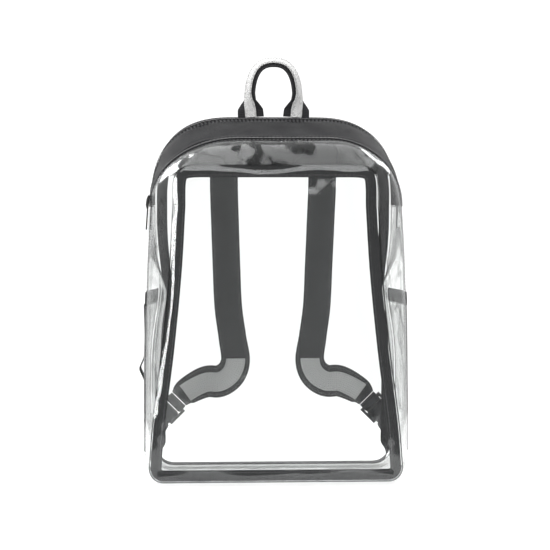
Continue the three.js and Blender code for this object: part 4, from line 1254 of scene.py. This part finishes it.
def handle_frames(count):
    """The handle's middle line and its side and face directions: a squared half ring in the plane of
    the back seam, turned to the front by HANDLE_FORM."""
    half = HANDLE_SPREAD / 2

    def place(t):
        angle = np.pi * (1 - np.clip(t, 0, 1))
        bow = 1 + HANDLE_BOW * np.sin(angle)
        x = half * bow * np.sign(np.cos(angle)) * np.abs(np.cos(angle)) ** HANDLE_ARCH["across"]
        rise = np.sin(angle) ** HANDLE_ARCH["up"]
        sunk = HANDLE_SINK * (1 - smooth_step(rise, 0, 0.3))
        z = BACK_HEIGHT + 2 * GAP + (HANDLE_RISE - HANDLE_TOP) * rise - sunk
        return np.stack([x, np.full_like(x, REAR_EDGE - HANDLE_INSET), z], 1)

    t = edged(count)
    up = 2 * np.minimum(t, 1 - t)
    step = 1e-3
    tangent = unit(place(t + step) - place(t - step))
    out = np.stack([-tangent[:, 2], 0 * t, tangent[:, 0]], 1)
    turn = np.radians(straight_rows(HANDLE_FORM, "turn", up))[:, None]
    face = out * np.cos(turn) + np.array([0, -1.0, 0]) * np.sin(turn)
    side = unit(np.cross(tangent, face))
    return place(t), side, face, up


def make_handle():
    """The carry loop: black webbing folded on itself over the arch, and the grey webbing sewn along it."""
    middle, side, face, up = handle_frames(240)
    width = HANDLE_WIDTH * straight_rows(HANDLE_FORM, "width", up)
    thick = WEBBING * straight_rows(HANDLE_FORM, "thick", up)
    grid = swept_grid(middle, side, face, *flat_profile(width, thick))
    finish(tube("handle_black_webbing", grid), "webbing", "black_webbing", "handle_webbing")
    seat = thick / 2 + 2 * GAP + WEBBING / 2
    strip = flat_profile(np.full_like(width, STRIP_WIDTH), WEBBING)
    grid = swept_grid(middle + face * seat[:, None], side, face, *strip)
    finish(tube("handle_grey_webbing", grid), "herringbone", "grey_webbing", "handle_strip")
    above = middle + face * (seat + WEBBING / 2)[:, None]
    row = STRIP_WIDTH / 2 - STRIP_ROW
    paths = [above - side * row, above + side * row]
    finish(stitched("handle_stitches", paths, [face, face]), "pale_thread", "grey_webbing")


def lock_place(sign):
    """A function that places lengths down and out of a ladder lock's middle, and its direction across."""
    tilt = math.radians(LOCK_TILT)
    along = np.array([sign * math.sin(tilt), 0, -math.cos(tilt)])
    out = np.array([0.0, 1, 0])
    across = np.cross(out, along)
    middle = np.array([sign * (BACK_WIDTH / 2 - LOCK_INSET), MAIN_DEPTH + LOCK_OFF, LOCK_HEIGHT])
    return lambda down, off: middle + along * down + out * off, across


def strap_line(sign, count, lift=0.0, shares=(0, 1)):
    """A strap's middle line, its side directions and its widths, on a smooth curve through its route."""
    edge = YOKE_EDGE + STRAP_TUCK
    place, _ = lock_place(sign)
    top = -LOCK["length"] / 2 - STRAP_LEAD
    reach = sign * STRAP_ACROSS
    route = [[reach * row["across"], MAIN_DEPTH + row["off"] - lift, edge * row["up"]] for row in STRAP_ROUTE]
    route += [place(top - back, -lift) for back in (STRAP_TAPER, 0)]
    neck = STRAP_WEBBING / STRAP_WIDTH
    widths = [row["width"] for row in STRAP_ROUTE] + [STRAP_NECK * neck, neck]
    path = spline(route, CURVE_STEPS)
    t = np.linspace(0, 1, CURVE_STEPS)
    at = np.linspace(*shares, count)
    line = np.stack([np.interp(at, t, column) for column in path.T], 1)
    tangent = unit(np.gradient(line, axis=0))
    side = unit(np.cross(np.array([0.0, 1, 0]), tangent))
    spread = np.pad(np.interp(t, np.linspace(0, 1, len(widths)), widths), WIDTH_BLEND, "edge")
    window = 2 * WIDTH_BLEND + 1
    spread = np.convolve(spread, np.ones(window) / window, "valid")
    return line, side, np.interp(at, t, spread) * STRAP_WIDTH


def pad_profile(width, thick):
    """A padded strap's profile: full in its middle, drawn in along the stitch line near each edge, and
    bound with a thin rounded edge."""
    s = np.sin(np.linspace(-np.pi / 2, np.pi / 2, 33))
    off = np.abs(s)
    full = PAD_LOW + (1 - PAD_LOW) * np.clip(1 - (off / PAD_REACH) ** 3.2, 0, 1) ** 0.6
    groove = PAD_GROOVE["deep"] * np.exp(-(((off - PAD_STITCH) / PAD_GROOVE["reach"]) ** 2))
    bound = np.clip((off - PAD_EDGE["from"]) / (1 - PAD_EDGE["from"]), 0, 1)
    edge = np.sqrt(np.clip(1 - bound**2, 0, 1))
    height = (full - groove) * (PAD_EDGE["thick"] + (1 - PAD_EDGE["thick"]) * edge)
    w = np.concatenate([s, s[::-1]])
    h = np.concatenate([-height, height[::-1]])
    return w[None] * width[:, None] / 2, h[None] * thick / 2 + 0 * width[:, None]


def make_straps():
    """The padded shoulder straps with their stitch lines, and the grey lining on their lower inner side."""
    for name, sign in SIDES:
        line, side, width = strap_line(sign, STRAP_STEPS)
        side, face = path_frames(line, side)
        w, h = pad_profile(width, STRAP_THICK)
        walk = np.linspace(0, 300, len(line))[:, None]
        h = h * (1 + PAD_UNEVEN * ripples(walk, w, f"strap_{name}"))
        strap = tube(f"padded_strap_{name}", swept_grid(line, side, face, w, h), smooth_to=60)
        finish(strap, "strap_cloth", "black_nylon", f"shoulder_strap_{name}")
        row = side * (PAD_STITCH * width / 2)[:, None]
        high = face * STRAP_THICK / 2 * PAD_SEAM_HEIGHT
        paths = [line - row - high, line + row - high, line - row + high, line + row + high]
        rows = stitched(f"strap_stitches_{name}", paths, [-face, -face, face, face])
        finish(rows, "thread", "black_nylon")
        shares = [share / STRAP_SHARES for share in LINING_SHARES]
        lift = STRAP_THICK / 2 + 3 * GAP + SHEET / 2
        line, side, _ = strap_line(sign, LINING_STEPS, lift, shares)
        band = flat_profile(np.full(LINING_STEPS, LINING_WIDTH), SHEET)
        lining = tube(f"mesh_lining_{name}", swept_grid(line, *path_frames(line, side), *band))
        finish(lining, "air_mesh", "grey_lining", f"strap_lining_{name}")


def bent(points, sides, radius):
    """A path with each corner cut by a small parabola, and side directions to go with it."""
    path, turned = [points[0]], [sides[0]]
    for k in range(1, len(points) - 1):
        before, at, after = points[k - 1], points[k], points[k + 1]
        a = at + (before - at) * min(0.45, radius / max(1e-6, np.linalg.norm(before - at)))
        b = at + (after - at) * min(0.45, radius / max(1e-6, np.linalg.norm(after - at)))
        for t in np.linspace(0, 1, 5):
            path.append((1 - t) ** 2 * a + 2 * t * (1 - t) * at + t**2 * b)
            turned.append(sides[k])
    return np.array([*path, points[-1]]), np.array([*turned, sides[-1]])


def webbing_along(name, points, sides, radius):
    """A flat webbing along bent points, its profile square to the path."""
    path, turned = bent(np.array(points, float), np.array(sides, float), radius)
    path, turned = evenly(path, 1.0, turned)
    band = flat_profile(np.full(len(path), STRAP_WEBBING), WEBBING)
    return tube(name, swept_grid(path, *path_frames(path, turned), *band))


def make_adjusters():
    """The ladder locks, the loops that hold them, the adjusting webbing with its free tails, and the
    anchor tabs."""
    t = WEBBING / 2
    over = LOCK["thick"] / 2 + 2 * GAP + t
    half, bar = LOCK["length"] / 2, LOCK["bar"]
    inside, near = -half + bar + 2 * GAP + t, -half - 2 * GAP - t
    start = -half - STRAP_LEAD + 4 * GAP
    beside = t + GAP / 2
    loop_route = [
        (start, beside), (near - LOOP_TURN, beside), (near, over), (inside, over),
        (inside, -over), (near, -over), (near - LOOP_TURN, -beside), (start, -beside),
    ]
    under = over + WEBBING + 2 * GAP
    slot = half - bar - LOCK["slot"] + 2 * GAP + t
    end = half + LOCK_CLEAR
    seat = -LOCK_OFF + 4 * GAP + CLOTH + t
    route = [
        (end + ANCHOR_REACH * ANCHOR_SEAT["far"], seat), (end + ANCHOR_REACH * ANCHOR_SEAT["near"], seat),
        (end, -under), (-slot, -under), (-slot, over), (slot, over), (slot, -over),
        (end - LOCK_CLEAR / 2, -over), (end + TAIL_EXIT, -over + LOCK_CLEAR),
    ]
    for name, sign in SIDES:
        place, across = lock_place(sign)
        lock = rounded_copy(f"ladder_lock_{name}", f"moulded_lock_{name}", ROUNDING["lock"], 3)
        finish(lock, "plastic", "black_plastic", f"ladder_lock_{name}")
        tab = rounded_copy(f"anchor_tab_{name}", f"sewn_anchor_{name}", ROUNDING["tab"], 2)
        finish(tab, "tab_cloth", "black_nylon", f"anchor_tab_{name}")
        points = [place(a, n) for a, n in loop_route]
        loop = webbing_along(f"lock_loop_{name}", points, [across] * len(points), LOOP_BEND)
        finish(loop, "webbing", "black_webbing", f"strap_loop_{name}")
        points = [place(a, n) for a, n in route]
        sides = [across] * len(points)
        if name == "left":
            leaves = points[-1]
            tail = MAIN_DEPTH + TAIL_OFF
            edge = (tail - STRAP_WEBBING / 2) / MAIN_DEPTH
            flank = (ZIP_WIDTH + (BACK_WIDTH - ZIP_WIDTH) * edge) / 2
            for row in TAIL_ROUTE:
                turn = math.radians(row["turn"])
                points.append(np.array([
                    sign * (flank + TAIL_REACH * row["out"]),
                    leaves[1] + (tail - leaves[1]) * row["deep"],
                    leaves[2] + (TAIL_HEIGHT - leaves[2]) * row["up"],
                ]))
                sides.append(across * math.cos(turn) + np.array([0, math.sin(turn), 0]))
        else:
            points += [place(end + row["past"], row["off"]) for row in TAIL_FOLD]
            sides += [across] * len(TAIL_FOLD)
        webbing = webbing_along(f"adjusting_webbing_{name}", points, sides, WEBBING_BEND)
        finish(webbing, "webbing", "black_webbing", f"adjuster_webbing_{name}")


# Stage


def area_light(name, place, aim, size, brightness):
    """A soft box of a given radiance, turned from its place to its aim, in metres."""
    light = bpy.data.lights.new(name, "AREA")
    light.shape = "RECTANGLE"
    light.size, light.size_y = size
    light.energy = brightness * math.pi * size[0] * size[1]
    lamp = bpy.data.objects.new(name, light)
    lamp.location = place
    lamp.rotation_euler = (Vector(aim) - Vector(place)).to_track_quat("-Z", "Y").to_euler()
    bpy.context.scene.collection.objects.link(lamp)


def make_world():
    """A studio: white where the camera looks past the floor, and for all other rays pale above and
    behind, with darker sides in front."""
    n = Nodes(bpy.data.worlds.new("studio"))
    _, back, up = n.where("Generated")
    level = n.math("MULTIPLY", n.range(up, *ROOM_UP), n.range(back, *ROOM_BACK))
    room = n.add("ShaderNodeBackground", {0: (1, 1, 1, 1), 1: level}).outputs[0]
    white = n.add("ShaderNodeBackground", {0: (1, 1, 1, 1), 1: BACKDROP}).outputs[0]
    camera_ray = n.add("ShaderNodeLightPath").outputs["Is Camera Ray"]
    both = n.add("ShaderNodeMixShader", {0: camera_ray, 1: room, 2: white}).outputs[0]
    n.add("ShaderNodeOutputWorld", {0: both})
    bpy.context.scene.world = n.owner


def make_floor():
    """A round pale floor, level with the bag's underside: a fan of faces within rings of quads."""
    turn = np.linspace(0, 2 * np.pi, FLOOR_SIDES, endpoint=False)
    rim = np.stack([np.cos(turn), np.sin(turn), 0 * turn], 1)
    rings = FLOOR_RINGS[:, None, None] * rim
    points = np.concatenate([np.zeros((1, 3)), rings.reshape(-1, 3)]) - [0, 0, FLOOR_DROP]
    first = 1 + np.arange(FLOOR_SIDES)
    fan = np.stack([0 * first, first, 1 + first % FLOOR_SIDES], 1)
    quads = 1 + quads_of(len(FLOOR_RINGS), FLOOR_SIDES, True, False).reshape(-1, 4)[:, ::-1]
    floor = mesh_object("studio_floor", points, fan.tolist() + quads.tolist())
    floor.data.materials.append(FINISHES["floor"])


def make_camera():
    """The photograph's camera, on a line from its aim at a set azimuth and elevation."""
    a, e = math.radians(CAMERA_AZIMUTH), math.radians(CAMERA_ELEVATION)
    back = np.array([math.sin(a) * math.cos(e), -math.cos(a) * math.cos(e), math.sin(e)])
    data = bpy.data.cameras.new("photo_camera")
    data.sensor_width = 36
    data.lens = data.sensor_width * CAMERA_PIXELS / PHOTO_PIXELS
    data.clip_start, data.clip_end = 0.05, 20
    camera = bpy.data.objects.new("photo_camera", data)
    aim = (CAMERA_AIM + SHIFT) * MM
    camera.location = aim + back * CAMERA_DISTANCE * MM
    camera.rotation_euler = Vector(-back).to_track_quat("-Z", "Y").to_euler()
    bpy.context.scene.collection.objects.link(camera)
    bpy.context.scene.camera = camera


def make_lights():
    """Soft boxes: two overhead, tall ones at both sides, a low wide one in front and two behind."""
    for name, row in LIGHTS.items():
        area_light(name, *row)


# Add-on


class BagSettings(bpy.types.PropertyGroup):
    """Sizes and colours that a user would change."""

    sheet_ripple: FloatProperty(
        name="Sheet Ripple", description="How far the clear panels ripple, in millimetres", default=0.7,
        min=0, max=2,
    )
    sheet_haze: FloatProperty(
        name="Sheet Haze", description="Share of light that the clear sheet's hazy patches send back",
        default=0.012, min=0, max=0.3,
    )
    sheet_tint: FloatVectorProperty(
        name="Sheet Tint", description="Colour of light through one clear sheet", subtype="COLOR",
        default=(0.992, 0.996, 0.994), min=0, max=1,
    )
    nylon_colour: FloatVectorProperty(
        name="Nylon", description="Colour of the top, the yoke and the straps", subtype="COLOR",
        default=(0.011, 0.011, 0.0125), min=0, max=1,
    )
    tape_colour: FloatVectorProperty(
        name="Tape", description="Colour of bindings, zip tapes and webbing", subtype="COLOR",
        default=(0.013, 0.013, 0.0145), min=0, max=1,
    )
    strip_colour: FloatVectorProperty(
        name="Grey Webbing", description="Colour of the webbing on the handle", subtype="COLOR",
        default=(0.95, 0.95, 0.94), min=0, max=1,
    )
    lining_colour: FloatVectorProperty(
        name="Lining", description="Colour of the air mesh under the straps", subtype="COLOR",
        default=(0.45, 0.45, 0.45), min=0, max=1,
    )


def make_finishes(sizes):
    """All materials of the bag and its floor. Pitches and depths are in metres."""
    nylon, tape, tint = tuple(sizes.nylon_colour), tuple(sizes.tape_colour), tuple(sizes.sheet_tint)
    webbing = (0.024, 0.024, 0.026)
    FINISHES.update({
        "sheet": clear_finish("clear_vinyl", tint, sizes.sheet_haze),
        # Clear vinyl with painted shade along crease lines, for the gussets.
        "crease_shaded": clear_finish("crease_shaded_clear_vinyl", tint, sizes.sheet_haze, CREASE_SHADE),
        "nylon": nylon_finish("black_coated_nylon", nylon, sheen=0.06),
        "strap_cloth": nylon_finish("black_strap_nylon", (0.022, 0.022, 0.024), sheen=0.3),
        "tab_cloth": nylon_finish("black_tab_nylon", tape, sheen=0.2),
        "grosgrain": ribbed_finish("black_grosgrain", tape, 0.0011),
        "elastic": ribbed_finish("black_elastic", tape, 0.0016, 0.0021),
        "webbing": ribbed_finish("black_webbing_weave", webbing, 0.0018, 0.0016, high=2.2),
        "zip_tape": ribbed_finish("black_zip_tape", tape, 0.0007, 0.0008, sheen=0.0, gloss=0.04),
        "herringbone": herringbone_finish("grey_herringbone", tuple(sizes.strip_colour), (0.32, 0.32, 0.32)),
        "air_mesh": mesh_finish("grey_air_mesh", tuple(sizes.lining_colour)),
        "thread": hard_finish("black_thread", (0.09, 0.09, 0.093), 0.6, 2500, 0.00005),
        "zip_thread": hard_finish("dark_grey_thread", (0.16, 0.16, 0.165), 0.6, 2500, 0.00005),
        "pale_thread": hard_finish("grey_thread", (0.5, 0.5, 0.5), 0.7, 2500, 0.00005),
        # The coil is black; its grey colour is partly painted highlight, so that its turns show lighter than
        # the tape.
        "coil": hard_finish("black_zip_coil_painted_highlight", (0.15, 0.15, 0.153), 0.22, 900, 0.00002),
        "enamel": hard_finish("black_enamel", (0.02, 0.02, 0.02), 0.28, 700, 0.00003, metallic=0.35),
        "plastic": hard_finish("black_acetal", (0.018, 0.018, 0.019), 0.38, 1400, 0.00004),
        "floor": floor_finish("pale_floor", (0.95, 0.95, 0.95)),
    })


class BAG_OT_finishes(bpy.types.Operator):
    """Make the bag's materials"""

    bl_idname = "bag.finishes"
    bl_label = "Finishes"

    def execute(self, context):
        make_finishes(context.scene.bag)
        return {"FINISHED"}


class BAG_OT_sheets(bpy.types.Operator):
    """Make the clear front, gussets and back, and the yoke"""

    bl_idname = "bag.sheets"
    bl_label = "Clear Sheets"

    def execute(self, context):
        make_front_panel(context.scene.bag)
        make_gussets()
        make_back(context.scene.bag)
        return {"FINISHED"}


class BAG_OT_bindings(bpy.types.Operator):
    """Make the tapes over the seams"""

    bl_idname = "bag.bindings"
    bl_label = "Bindings"

    def execute(self, context):
        make_bindings()
        return {"FINISHED"}


class BAG_OT_top(bpy.types.Operator):
    """Make the nylon top with its zips and sliders"""

    bl_idname = "bag.top"
    bl_label = "Top and Zips"

    def execute(self, context):
        make_black_top()
        make_zips()
        make_sliders()
        return {"FINISHED"}


class BAG_OT_pockets(bpy.types.Operator):
    """Make the side pockets and their elastic"""

    bl_idname = "bag.pockets"
    bl_label = "Side Pockets"

    def execute(self, context):
        make_pockets()
        return {"FINISHED"}


class BAG_OT_handle(bpy.types.Operator):
    """Make the carry handle"""

    bl_idname = "bag.handle"
    bl_label = "Carry Handle"

    def execute(self, context):
        make_handle()
        return {"FINISHED"}


class BAG_OT_straps(bpy.types.Operator):
    """Make the shoulder straps, locks and adjusting webbing"""

    bl_idname = "bag.straps"
    bl_label = "Shoulder Straps"

    def execute(self, context):
        make_straps()
        make_adjusters()
        return {"FINISHED"}


class BAG_OT_stage(bpy.types.Operator):
    """Make the floor, the light and the camera"""

    bl_idname = "bag.stage"
    bl_label = "Stage"

    def execute(self, context):
        make_floor()
        make_world()
        make_lights()
        make_camera()
        scene = context.scene
        scene.view_settings.view_transform = "Standard"
        scene.cycles.transparent_max_bounces = 32
        return {"FINISHED"}


STEPS = (
    BAG_OT_finishes, BAG_OT_sheets, BAG_OT_bindings, BAG_OT_top, BAG_OT_pockets, BAG_OT_handle, BAG_OT_straps,
    BAG_OT_stage,
)


class BAG_PT_panel(bpy.types.Panel):
    """The bag's settings and steps"""

    bl_label = "Clear Backpack"
    bl_idname = "BAG_PT_panel"
    bl_space_type = "VIEW_3D"
    bl_region_type = "UI"
    bl_category = "Bag"

    def draw(self, context):
        for name in BagSettings.__annotations__:
            self.layout.prop(context.scene.bag, name)
        for step in STEPS:
            self.layout.operator(step.bl_idname)


CLASSES = (BagSettings, *STEPS, BAG_PT_panel)


def register():
    """Adds the classes and the scene's settings."""
    for each in CLASSES:
        bpy.utils.register_class(each)
    bpy.types.Scene.bag = PointerProperty(type=BagSettings)


def unregister():
    """Takes them away again."""
    del bpy.types.Scene.bag
    for each in reversed(CLASSES):
        bpy.utils.unregister_class(each)


def main():
    register()
    bpy.ops.bag.finishes()
    bpy.ops.bag.sheets()
    bpy.ops.bag.bindings()
    bpy.ops.bag.top()
    bpy.ops.bag.pockets()
    bpy.ops.bag.handle()
    bpy.ops.bag.straps()
    bpy.ops.bag.stage()


if __name__ == "__main__":
    main()
